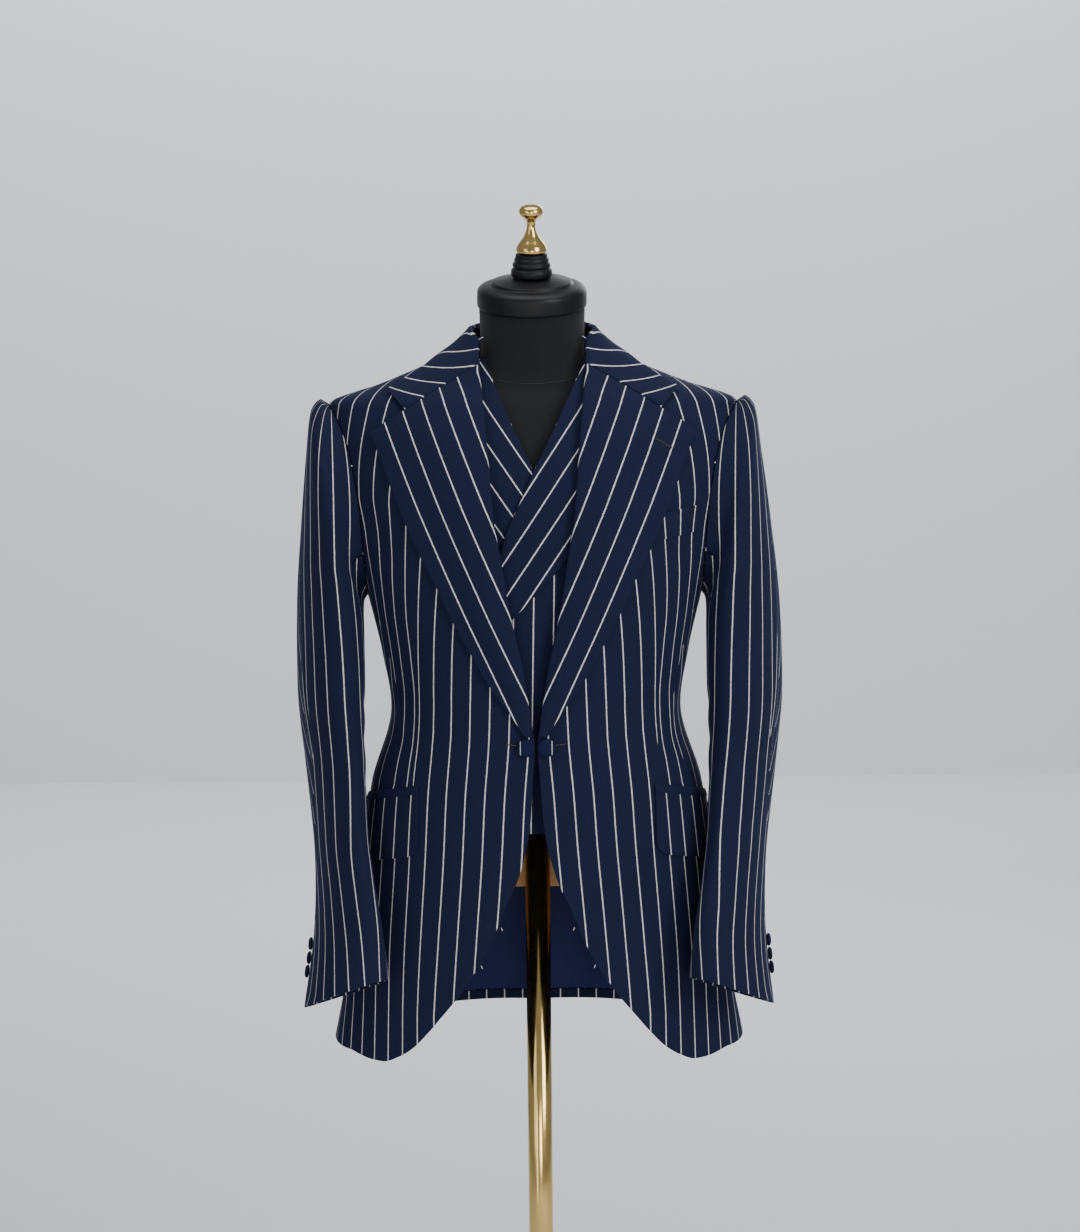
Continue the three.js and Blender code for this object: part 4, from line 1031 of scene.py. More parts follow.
# Soft folds of the jacket's body by turn and height; a turn over 90 is on the back.
JACKET_FOLDS = (
    Fold(((70, 1330), (66, 1270), (60, 1215)), -2.2, 13),
    Fold(((84, 1140), (72, 1080), (66, 1040)), 1.2, 12),
    Fold(((24, 1030), (40, 1048), (62, 1052)), -0.9, 9),
    Fold(((20, 1062), (38, 1088), (58, 1100)), 0.7, 9),
    Fold(((150, 1075), (132, 1068), (112, 1080)), -1.6, 10),
    Fold(((172, 1092), (150, 1098), (124, 1112)), -1.2, 9),
    Fold(((128, 1330), (132, 1270), (140, 1200)), -2.0, 14),
    Fold(((172, 1440), (150, 1425), (125, 1412)), -1.0, 9),
)
DEGREE_LENGTH = 3.0  # millimetres of cloth to a degree of turn, about the same all round the jacket


def jacket_relief(turn: Array, z: Array) -> Array:
    """Shallow flutes of the skirt, deepest at the hem, and the soft folds.

    Args:
        turn: angles from centre front.
        z: heights.

    Returns:
        The lift in millimetres.
    """
    from_front = np.where(turn > 180, 360 - turn, np.abs(turn))
    depth = 3.2 * (1 - ease(700, 980, z))
    lift = depth * np.sin(np.radians(from_front * 5 + 40)) * ease(20, 60, from_front)
    for fold in JACKET_FOLDS:
        lift = lift + fold.relief(from_front, z, DEGREE_LENGTH)
    return lift


@dataclass
class Jacket:
    """The jacket: its body panels, lining, lapels, collar, sleeves, pockets and buttons."""

    button_height: float = 1040
    neck_seam: float = 1462
    shoulder_end: float = 1398
    back_hem: float = 711
    front_corner: float = 743
    hem_turn: float = 76
    side_hem_rise: float = 24
    front_seam: float = 140
    back_seam: float = 232
    lining_top: float = 1100
    hem_facing: float = 11
    lining_ease: float = 2.4
    lining_reach: float = 58
    lapel_foot: float = 1050
    dart_arc: float = 138
    dart_column: int = 42
    front_columns: int = 56
    notch_share: float = 0.625
    collar_lift: float = 3.4
    gorge_height: float = 4.8  # of the lapel's and collar's faces above the front where they are sewn
    gorge_dip: float = 0.8

    def __post_init__(self) -> None:
        """Draws the curves that the panels' edges follow."""
        self.body = Body(JACKET_SECTIONS, jacket_relief)
        self.roll_x = Curve(
            (1040, 0.6), (1068, 5.3), (1089, 9.5), (1132, 17.4), (1189, 29.5),
            (1237, 36.8), (1277, 43.6), (1348, 49.7), (1419, 56.4), (1462, 60.6),
        )
        self.lapel_x = Curve(
            (1050, 12), (1072, 25.4), (1108, 49.8), (1143, 68.7), (1176, 86.6), (1213, 103.4),
            (1248, 121.2), (1281, 135.7), (1316, 149.7), (1348, 161.6), (1370, 171.4),
        )
        self.cutaway_x = Curve(
            (743, 104.2), (767, 85.2), (791, 69.6), (821, 52.3), (860, 36.3),
            (901, 18.6), (955, 6.9), (993, 4.2), (1040, 0.6),
        )
        self.hem_z = Curve(
            (104.2, 743), (120.6, 723), (138, 705), (152.5, 695.5), (169, 689), (184, 690), (196, 693),
            (212, 698),
        )
        self.front_seam_turn = Curve((690, self.hem_turn), (983, 73), (1069, 71), (1214, 77.9))
        self.back_seam_turn = Curve((690, 117), (930, 118), (1069, 116), (1230, 105.6))
        self.hem_end_x = float(self.body.point(self.hem_turn, 697.0)[0])
        self.hem_end_z = float(self.hem_z(self.hem_end_x))
        self.front_arm_z = 1294 + 104 * math.cos(math.radians(self.front_seam))
        self.back_arm_z = 1294 + 104 * math.cos(math.radians(self.back_seam))
        self.gorge, self.notch = (58.2, 1438.0), (135.0, 1393.0)
        self.lapel_tip, self.collar_tip = (171.4, 1370.0), (154.0, 1412.0)
        self._draw_grain()

    def _draw_grain(self) -> None:
        """Draws the curves that carry the stripes across the fronts."""
        self.drift = Curve(
            (743, 18), (780, 15.5), (830, 11.5), (917, 4.6), (982, 0.8), (1046, -4.4), (1133, -7.6),
            (1176, -10.6), (1218, -15), (1260, -20), (1301, -25), (1343, -31.5), (1384, -42), (1440, -60),
        )
        self.side_easing = Curve(
            (743, 0.24), (830, 0.13), (950, 0.11), (1014, 0.16), (1046, 0.28), (1176, 0.26), (1260, 0.15),
            (1300, 0),
        )
        self.dart_width = Curve((972, 0), (990, 12), (1089, 12), (1133, 7.7), (1176, 1.4), (1200, 0))
        self.right_shift = Curve((743, 7.4), (870, 7), (959, 5.8), (1200, 5), (1300, 1.5), (1400, 0))

    # ---------------------------- edges
    def front_edge_turn(self, z: Array) -> Array:
        """The turn of the front's edge: the cutaway, then the lapel's fold."""
        x = np.where(z < self.button_height, self.cutaway_x(z), self.roll_x(z))
        return self.body.turn_at_x(x + SEAM_GAP / 2, z)

    def front_far_turn(self, z: Array) -> Array:
        """The turn of the front's far edge: side seam, armhole, shoulder seam.

        Args:
            z: heights.

        Returns:
            The turns.
        """
        arm, _ = JACKET_ARMHOLE.spot(self.body, JACKET_ARMHOLE.angle(z))
        upper = np.where(z >= self.shoulder_end, 90.0, arm)
        return np.where(z <= self.front_arm_z, self.front_seam_turn(z), upper) - self.body.gap(z)

    def back_far_turn(self, z: Array) -> Array:
        """The turn of the back's far edge.

        Args:
            z: heights.

        Returns:
            The turns.
        """
        arm, _ = JACKET_ARMHOLE.spot(self.body, 360 - JACKET_ARMHOLE.angle(z))
        upper = np.where(z >= self.shoulder_end, 90.0, arm)
        return np.where(z <= self.back_arm_z, self.back_seam_turn(z), upper) + self.body.gap(z)

    def front_spot(self, u: Array, v: Array) -> Pair:
        """(turn, z) of a front: u from its edge to the side, v from the hem to the neck.

        Args:
            u: share from the edge to the side.
            v: share from the hem to the neck.

        Returns:
            The turns and the heights.
        """
        share = 0.42
        low = np.clip(v / share, 0, 1)

        def hem(s: Array) -> Pair:
            """The hem, from the foot of the cutaway to the side seam."""
            x = mix(104.2, self.hem_end_x, s)
            return self.body.turn_at_x(x, self.hem_z(x)), self.hem_z(x)

        def waist(s: Array) -> Pair:
            """The level of the button."""
            z = np.full_like(s, self.button_height)
            return mix(self.front_edge_turn(z), self.front_far_turn(z), s), z

        def cutaway(s: Array) -> Pair:
            """The rounded front edge."""
            z = mix(self.front_corner, self.button_height, s)
            return self.front_edge_turn(z), z

        def seam(s: Array) -> Pair:
            """The side seam."""
            z = mix(self.hem_end_z, self.button_height, s)
            return self.front_far_turn(z), z

        turn, z = coons(hem, waist, cutaway, seam)(u, low)
        high = mix(self.button_height, self.neck_seam, np.clip((v - share) / (1 - share), 0, 1))
        upper = mix(self.front_edge_turn(high), self.front_far_turn(high), u)
        return np.where(v < share, turn, upper), np.where(v < share, z, high)

    def darted_spot(self, u: Array, v: Array) -> Pair:
        """(turn, z) of a front whose grid has one column along the dart.

        Args:
            u: share from the edge to the side.
            v: share from the hem to the neck.

        Returns:
            The turns and the heights.
        """
        low, high = np.full_like(v[0], 0.3), np.full_like(v[0], 0.95)
        for _ in range(18):
            middle = (low + high) / 2
            short = self.body.arc(0.0, *self.front_spot(middle, v[0])) < self.dart_arc
            low, high = np.where(short, middle, low), np.where(short, high, middle)
        k = self.dart_column / self.front_columns
        before, after = u / k * low, low + (u - k) / (1 - k) * (1 - low)
        return self.front_spot(np.where(u < k, before, after), v)

    def side_hem(self, u: Array) -> Pair:
        """(turn, z) of the side body's hem."""
        ends = self.front_seam_turn(self.hem_end_z), self.back_seam_turn(self.back_hem)
        return mix(*ends, u), self.hem_end_z + self.side_hem_rise * ease(0, 1, u)

    def side_spot(self, u: Array, v: Array) -> Pair:
        """(turn, z) of a side body: u from the front's seam to the back's.

        Args:
            u: share from the front's seam to the back's.
            v: share from the hem to the armhole.

        Returns:
            The turns and the heights.
        """

        def bottom(s: Array) -> Pair:
            """The hem."""
            turn, z = self.side_hem(s)
            return turn + mix(1, -1, s) * self.body.gap(z), z

        def top(s: Array) -> Pair:
            """The edge under the armhole."""
            turn, z = JACKET_ARMHOLE.spot(self.body, mix(self.front_seam, self.back_seam, s))
            return turn + mix(1, -1, s) * self.body.gap(z), z

        def fore(s: Array) -> Pair:
            """The seam with the front."""
            z = mix(self.hem_end_z, self.front_arm_z, s)
            return self.front_seam_turn(z) + self.body.gap(z), z

        def hind(s: Array) -> Pair:
            """The seam with the back."""
            z = mix(self.hem_end_z + self.side_hem_rise, self.back_arm_z, s)
            return self.back_seam_turn(z) - self.body.gap(z), z

        return coons(bottom, top, fore, hind)(u, v)

    def back_spot(self, u: Array, v: Array) -> Pair:
        """(turn, z) of a back: u from centre back to the side."""
        z = mix(self.back_hem, self.neck_seam, v)
        return mix(180 - self.body.gap(z), self.back_far_turn(z), u), z

    # ---------------------------- grain
    def front_grain(self, side: Side, spot: Callable) -> Grain:
        """Where each place of a front lay on the flat cloth, so that its stripes run as cut."""

        def grain(u: Array, v: Array) -> Pair:
            """The length round the body, less what the stripes drift."""
            turn, z = spot(u, v)
            arc = self.body.arc(0.0, turn, z)
            across = arc - self.drift(z) + self.side_easing(z) * np.maximum(0, arc - 125)
            if side is Side.RIGHT:
                across = across - self.right_shift(z)
            return across - 12, z

        return grain

    def back_grain(self, u: Array, v: Array) -> Pair:
        """The back's grain: stripes run with the centre seam and converge a little at the waist."""
        turn, z = self.back_spot(u, v)
        return self.body.arc(180.0, turn, z) * -1 + STRIPE_PITCH / 2, z

    def panels(self) -> None:
        """Sews the fronts, side bodies and backs."""
        for side in Side:
            front, flank = self.darted_spot, self.side_spot
            for part, spot, grain, columns, rows, flat, area in (
                ("front", front, self.front_grain(side, front), self.front_columns, 150, (0.28, 0.79), 0.15),
                ("side", flank, self.front_grain(side, flank), 22, 96, (0.16, 0.52), 0.06),
                ("back", self.back_spot, self.back_grain, 44, 150, (0.25, 0.77), 0.15),
            ):
                Cloth(
                    name=f"{part}_{side.label}",
                    place=lambda u, v, s=spot, d=side: mirrored(self.body.raised(*s(u, v), 0.0), d),
                    grain=grain, columns=columns, rows=rows, flat=flat, area=area,
                    nodes=(f"jacket_{part}_{side.label}",),
                    dart_column=self.dart_column if part == "front" else NO_DART, dart_width=self.dart_width,
                ).sew()

    def inside_back(self) -> None:
        """Sews the lining of the back and its turned-up hem."""

        def spot(low: float, high: float) -> Callable:
            """(turn, z) on the back between two heights."""
            return lambda u, v: (mix(180 - self.lining_reach, 180 + self.lining_reach, u), mix(low, high, v))

        hem_top = self.back_hem + self.hem_facing
        lining, hem = spot(hem_top + SEAM_GAP, self.lining_top), spot(self.back_hem, hem_top)

        def on_back(where: Callable, height: float) -> Place:
            """Places at a height off the back."""
            return lambda u, v: self.body.raised(*where(u, v), height)

        def grain(where: Callable) -> Grain:
            """The grain, measured from the centre seam."""
            return lambda u, v: (self.body.arc(180.0, *where(u, v)) + 3, where(u, v)[1])

        Cloth(
            "back_lining", on_back(lining, -CLOTH - self.lining_ease), grain(lining), 64, 48, (0.35, 0.38),
            0.12, ("jacket_back_lining",), thick=LINING, rests_on=("back_left", "back_right"), finish=SATIN,
            slot=Slot.LINING,
        ).sew()
        Cloth(
            "back_hem_facing", on_back(hem, -CLOTH - self.lining_ease), grain(hem), 96, 4, (0.36, 0.011),
            0.0039, ("jacket_back_hem",), rests_on=("back_left", "back_right"),
        ).sew()

    def tacks(self) -> None:
        """Sews the small white tacks left in the inside edge of each front."""
        for side in Side:
            for number, (x, z) in enumerate(((36.3, 841.5), (58.2, 799.5)), 1):
                share = np.linspace(-1, 1, 7)
                heights = z + 1.6 * share
                across = np.full_like(share, x) + 0.6 * share + 2.2
                turn = self.body.turn_at_x(across, heights)
                points = self.body.raised(turn, heights, 0.35 - 0.3 * share**2)
                thread(f"tack_{side.label}_{number}", mirrored(points, side), 0.3, TACK_THREAD, Slot.SUITING)

    # ---------------------------- lapels and collar
    def _two_legs(self, corner: tuple[float, float], end: tuple[float, float]) -> Callable:
        """An edge from the gorge through a corner to an end, as (x, z) of a share."""

        def edge(s: Array) -> Pair:
            """(x, z) at a share of the edge."""
            first, second = s / self.notch_share, (s - self.notch_share) / (1 - self.notch_share)
            return tuple(
                np.where(s < self.notch_share, mix(a, b, first), mix(b, c, second))
                for a, b, c in zip(self.gorge, corner, end)
            )

        return edge

    def lapel_xz(self, u: Array, v: Array) -> Pair:
        """(x, z) of a lapel: u from the fold to the edge, v from the foot to the gorge.

        Args:
            u: share from the fold to the edge.
            v: share from the foot to the gorge.

        Returns:
            The x and z of the places.
        """
        foot, top = self.lapel_foot, self.gorge[1]
        patch = coons(
            lambda s: (mix(self.roll_x(foot) + SEAM_GAP, 12.0, s), np.full_like(s, foot)),
            self._two_legs(self.notch, self.lapel_tip),
            lambda s: (self.roll_x(mix(foot, top, s)) + SEAM_GAP * (1 - s), mix(foot, top, s)),
            lambda s: (self.lapel_x(mix(foot, self.lapel_tip[1], s)), mix(foot, self.lapel_tip[1], s)),
        )
        return patch(u, v)

    def lapel_spot(self, u: Array, v: Array) -> Pair:
        """(turn, z) of a lapel."""
        x, z = self.lapel_xz(u, v)
        return self.body.turn_at_x(x, z), z

    def lapel_height(self, u: Array, v: Array) -> Array:
        """Height of the lapel's face above the front: it rolls off the fold, then lies close.

        Args:
            u: share from the fold to the edge.
            v: share from the foot to the gorge.

        Returns:
            The heights.
        """
        swell = 2.5 * np.sin(np.pi * np.clip(u / 0.7, 0, 1)) * ease(0, 0.2, v)
        free = 1.8 + ease(0, 0.3, u) + swell + LAPEL_CLOTH
        sewn = mix(free, self.gorge_height, ease(0.9, 1, v) * (1 - ease(self.notch_share, 0.8, u)))
        return sewn - self.gorge_dip * ease(0.985, 1, v) * (1 - ease(self.notch_share, 0.7, u))

    def lapels(self) -> None:
        """Sews both lapels with their rolled folds."""
        edge_line = Curve((1050, 34), (1100, 56), (1200, 101), (1300, 143.5), (1370, 171), (1430, 193.5))
        share = 0.09

        def radius(v: Array) -> Array:
            """Radius of the fold, which opens from the foot."""
            return 0.3 + 2.4 * ease(0, 0.16, v)

        def grain(u: Array, v: Array) -> Pair:
            """Stripes that run with the lapel's edge."""
            x, z = self.lapel_xz(np.clip((u - share) / (1 - share), 0, 1), v)
            wrapped = np.clip(1 - u / share, 0, 1) * np.pi * radius(v)
            return (edge_line(z) - x) * math.cos(math.radians(24)) + 3.5 + wrapped, z

        folded = rolled(self.body, self.lapel_spot, share, radius, self.lapel_height)
        for side in Side:
            Cloth(
                f"lapel_{side.label}", lambda u, v, d=side: mirrored(folded(u, v), d), grain, 60, 130,
                (0.14, 0.37), 0.032, (f"jacket_lapel_{side.label}",), thick=LAPEL_CLOTH, edge=0.7,
                held=Held.FOLDED, rests_on=(f"front_{side.label}",),
            ).sew()

    def collar(self) -> None:
        """Sews the collar's fall with its fold, and the stand inside it."""
        gorge_turn = float(self.body.turn_at_x(self.gorge[0], np.float64(self.gorge[1])))
        tip_turn = float(self.body.turn_at_x(self.collar_tip[0], np.float64(self.collar_tip[1])))
        fold_turn = Curve((0, gorge_turn), (0.12, 52), (0.26, 72), (0.42, 95), (0.7, 138), (1, 180))
        fold_z = Curve((0, self.gorge[1]), (0.12, 1446), (0.26, 1468), (0.42, 1475), (0.7, 1480), (1, 1483))
        edge_turn = Curve((0, tip_turn), (0.2, 77), (0.42, 95), (0.7, 138), (1, 180))
        edge_z = Curve((0, self.collar_tip[1]), (0.2, 1434), (0.42, 1454), (0.7, 1447), (1, 1440))
        legs = self._two_legs(self.notch, self.collar_tip)
        seam_gap, share = 1.2, 0.08

        def end(s: Array) -> Pair:
            """(turn, z) of the collar's front end."""
            x, z = legs(s)
            lifted = z + seam_gap * (1 - ease(self.notch_share, 1, s))
            return self.body.turn_at_x(x, lifted), lifted

        first, last = end(np.zeros(1)), end(np.ones(1))
        straight = coons(
            lambda s: tuple(mix(a, b, s) for a, b in zip(first, last)),
            lambda s: (np.full_like(s, 180.0), mix(1483.0, 1440.0, s)),
            lambda s: (fold_turn(s), fold_z(s) + seam_gap * (1 - s)),
            lambda s: (edge_turn(s), edge_z(s)),
        )

        def half(u: Array, v: Array) -> Pair:
            """(turn, z) of the right half."""
            fade = 1 - ease(0, 0.3, v)
            parts = zip(straight(u, v), end(u), first, last)
            return tuple(value + (corner - mix(a, b, u)) * fade for value, corner, a, b in parts)

        def from_end(v: Array) -> Array:
            """Share of the way from an end to centre back."""
            return 1 - np.abs(2 * v - 1)

        def height(u: Array, v: Array) -> Array:
            """Height of the collar's face above the jacket."""
            far = from_end(v)
            free = self.collar_lift + LAPEL_CLOTH + 1.6 * np.sin(np.pi * u) * ease(0.1, 0.4, far)
            near = (1 - ease(0, 0.12, far)) * (1 - ease(self.notch_share, 0.8, u))
            dip = self.gorge_dip * (1 - ease(0, 0.02, far)) * (1 - ease(self.notch_share, 0.7, u))
            return mix(free, self.gorge_height, near) - dip

        def radius(v: Array) -> Array:
            """Radius of the fold."""
            return 2.7 + 0.6 * ease(0, 0.3, from_end(v))

        right = rolled(self.body, lambda u, v: half(u, from_end(v)), share, radius, height)

        def place(u: Array, v: Array) -> Array:
            """Places of both halves, the left one mirrored."""
            points = right(u, v)
            points[..., 0] = np.where(v < 0.5, points[..., 0], -points[..., 0])
            return points

        def grain(u: Array, v: Array) -> Pair:
            """Stripes level over the shoulders, then running round the neck."""
            far = from_end(v)
            beyond = np.clip((u - share) / (1 - share), 0, 1)
            middle = self.body.point(*half(np.full_like(u, 0.5), far))
            step = np.linalg.norm(np.diff(middle, axis=1), axis=-1)
            length = np.concatenate([np.zeros((u.shape[0], 1)), np.cumsum(step, axis=1)], axis=1)
            round_neck = np.where(v <= 0.5, length, length[:, -1:] - length)
            points = self.body.point(*half(beyond, far))
            x, z = points[..., 0] - 110, points[..., 2] - 1430
            level = 36.8 - 0.1 * x + 1.475 * z + 0.0018 * x * z - 0.0038 * x * x
            joined = level[u.shape[0] // 2, int(0.17 * u.shape[1])] - length[0, int(0.17 * u.shape[1])]
            return mix(level, round_neck + joined, ease(0.22, 0.46, far)), beyond * 45

        Cloth(
            "collar", place, grain, 44, 240, (0.08, 0.5), 0.026, ("jacket_collar",), thick=LAPEL_CLOTH,
            edge=0.7, held=Held.FOLDED, rests_on=("front_left", "front_right", "back_left", "back_right"),
        ).sew()

        stand_top = Curve((72, 1468), (95, 1475), (138, 1480), (180, 1483))

        def stand(u: Array, v: Array) -> Pair:
            """(turn, z) of the stand."""
            turn = mix(62.0, 298.0, u)
            top = stand_top(np.minimum(turn, 360 - turn)) + self.collar_lift - 2
            return turn, mix(self.neck_seam + 1, top, v)

        Cloth(
            "collar_stand", lambda u, v: self.body.raised(*stand(u, v), -1.2 + CLOTH),
            lambda u, v: (self.body.arc(180.0, *stand(u, v)) + 10, stand(u, v)[1]), 80, 8, (0.27, 0.026),
            0.0048, ("jacket_collar_stand",), rests_on=("back_left", "back_right"),
        ).sew()

    def pockets(self) -> None:
        """Sews the flaps, their jettings and the breast welt."""
        flap_height, corner, drop, pocket_top, jet = 68.0, 14.0, 26.0, 986.0, 8.0
        front_turn = float(self.body.turn_at_x(126.0, np.float64(pocket_top)))
        width = math.radians(97 - front_turn) * float(self.body.reach(np.float64(80), np.float64(pocket_top)))

        def turn(u: Array) -> Array:
            """The turn at a share of the flap's width."""
            return mix(front_turn, 97.0, u)

        def depth(u: Array) -> Array:
            """The flap's depth, less at its rounded corners."""
            short = np.maximum(0, corner - np.minimum(u, 1 - u) * width)
            return flap_height - corner + np.sqrt(corner**2 - short**2)

        def flap(u: Array, v: Array) -> Pair:
            """(turn, z) of a flap."""
            across = u - 0.6 * np.sin(2 * np.pi * u) / (2 * np.pi)
            return turn(across), pocket_top - drop * across - depth(across) * (1 - v)

        def jetting(u: Array, v: Array) -> Pair:
            """(turn, z) of a jetting."""
            return turn(u), pocket_top - drop * u - 1.2 + (jet + 1.6) * v

        def welt_xz(u: Array, v: Array) -> Pair:
            """(x, z) of the welt."""
            return mix(118.0, 174.0, u), mix(1282.0, 1291.5, u) - 28 * (1 - v)

        def welt(u: Array, v: Array) -> Pair:
            """(turn, z) of the welt."""
            x, z = welt_xz(u, v)
            return self.body.turn_at_x(x, z), z

        for side in Side:
            Cloth(
                f"flap_{side.label}",
                lambda u, v, d=side: mirrored(
                    self.body.raised(*flap(u, v), 0.5 + CLOTH + 1.2 * (1 - v)), d
                ),
                self.front_grain(side, flap), 56, 28, (0.12, 0.068), 0.0078, (f"jacket_flap_{side.label}",),
                edge=0.6, rests_on=(f"front_{side.label}",),
            ).sew()
            Cloth(
                f"jetting_{side.label}",
                lambda u, v, d=side: mirrored(
                    self.body.raised(*jetting(u, v), 3.5 - 1.4 * v - 0.7 * np.abs(2 * v - 1) ** 3), d
                ),
                lambda u, v: (10.65 + 0 * u, u * width), 48, 6, (0.12, 0.01), 0.00096,
                (f"jacket_jet_{side.label}",), thick=1.2, rests_on=(f"front_{side.label}",),
            ).sew()
        Cloth(
            "breast_welt", lambda u, v: self.body.raised(*welt(u, v), 2.1),
            self.front_grain(Side.RIGHT, welt), 36, 16, (0.1, 0.028), 0.0026, ("jacket_breast_welt",),
            thick=1.3, rests_on=("front_right",),
        ).sew()

    def link(self) -> None:
        """Makes the two link buttons, the buttonhole beside each and the lapel's buttonhole."""
        radius, height = 9.8, 6.0
        shares = ((0, 0), (0.74, 0), (0.97, 0.16), (1, 0.4), (0.9, 0.76), (0.6, 0.95), (0, 1))
        profile = [(radius * across, height * up) for across, up in shares]
        for side in Side:

            def surface(a: float, b: float, d: Side = side) -> Array:
                """Places near a link button."""
                z = np.float64(1038 + b)
                return mirrored(self.body.point(self.body.turn_at_x(10.8 + a, z), z), d)

            name = f"link_button_{side.label}"
            CoveredButton(name, f"jacket_{name}", surface, body_axis, profile, 1.2, LINK_CLOTH, 48).make()
            across = np.linspace(18.5, 31.5, 14)
            z = 1040 + 0.12 * (across - 18.5)
            hole = self.body.raised(self.body.turn_at_x(across, z), z, 0.45)
            thread(f"link_buttonhole_{side.label}", mirrored(hole, side), 0.55, HOLE_THREAD, Slot.SUITING)
        self.lapel_buttonhole()

    def lapel_buttonhole(self) -> None:
        """Works the buttonhole across the right lapel, with its two rows of purl stitch."""
        share = np.linspace(0, 1, 10)
        for row in (-0.55, 0.55):
            x = mix(128.0, 144.5, share)
            z = mix(1361.5, 1352.0, share) + row
            u = (x - self.roll_x(z)) / (self.lapel_x(z) - self.roll_x(z))
            height = self.lapel_height(u, np.full_like(u, 0.8)) + 0.25
            points = self.body.raised(self.body.turn_at_x(x, z), z, height)
            name = "lapel_buttonhole_upper" if row > 0 else "lapel_buttonhole_lower"
            thread(name, points, 0.5, DARK_THREAD, Slot.SUITING)


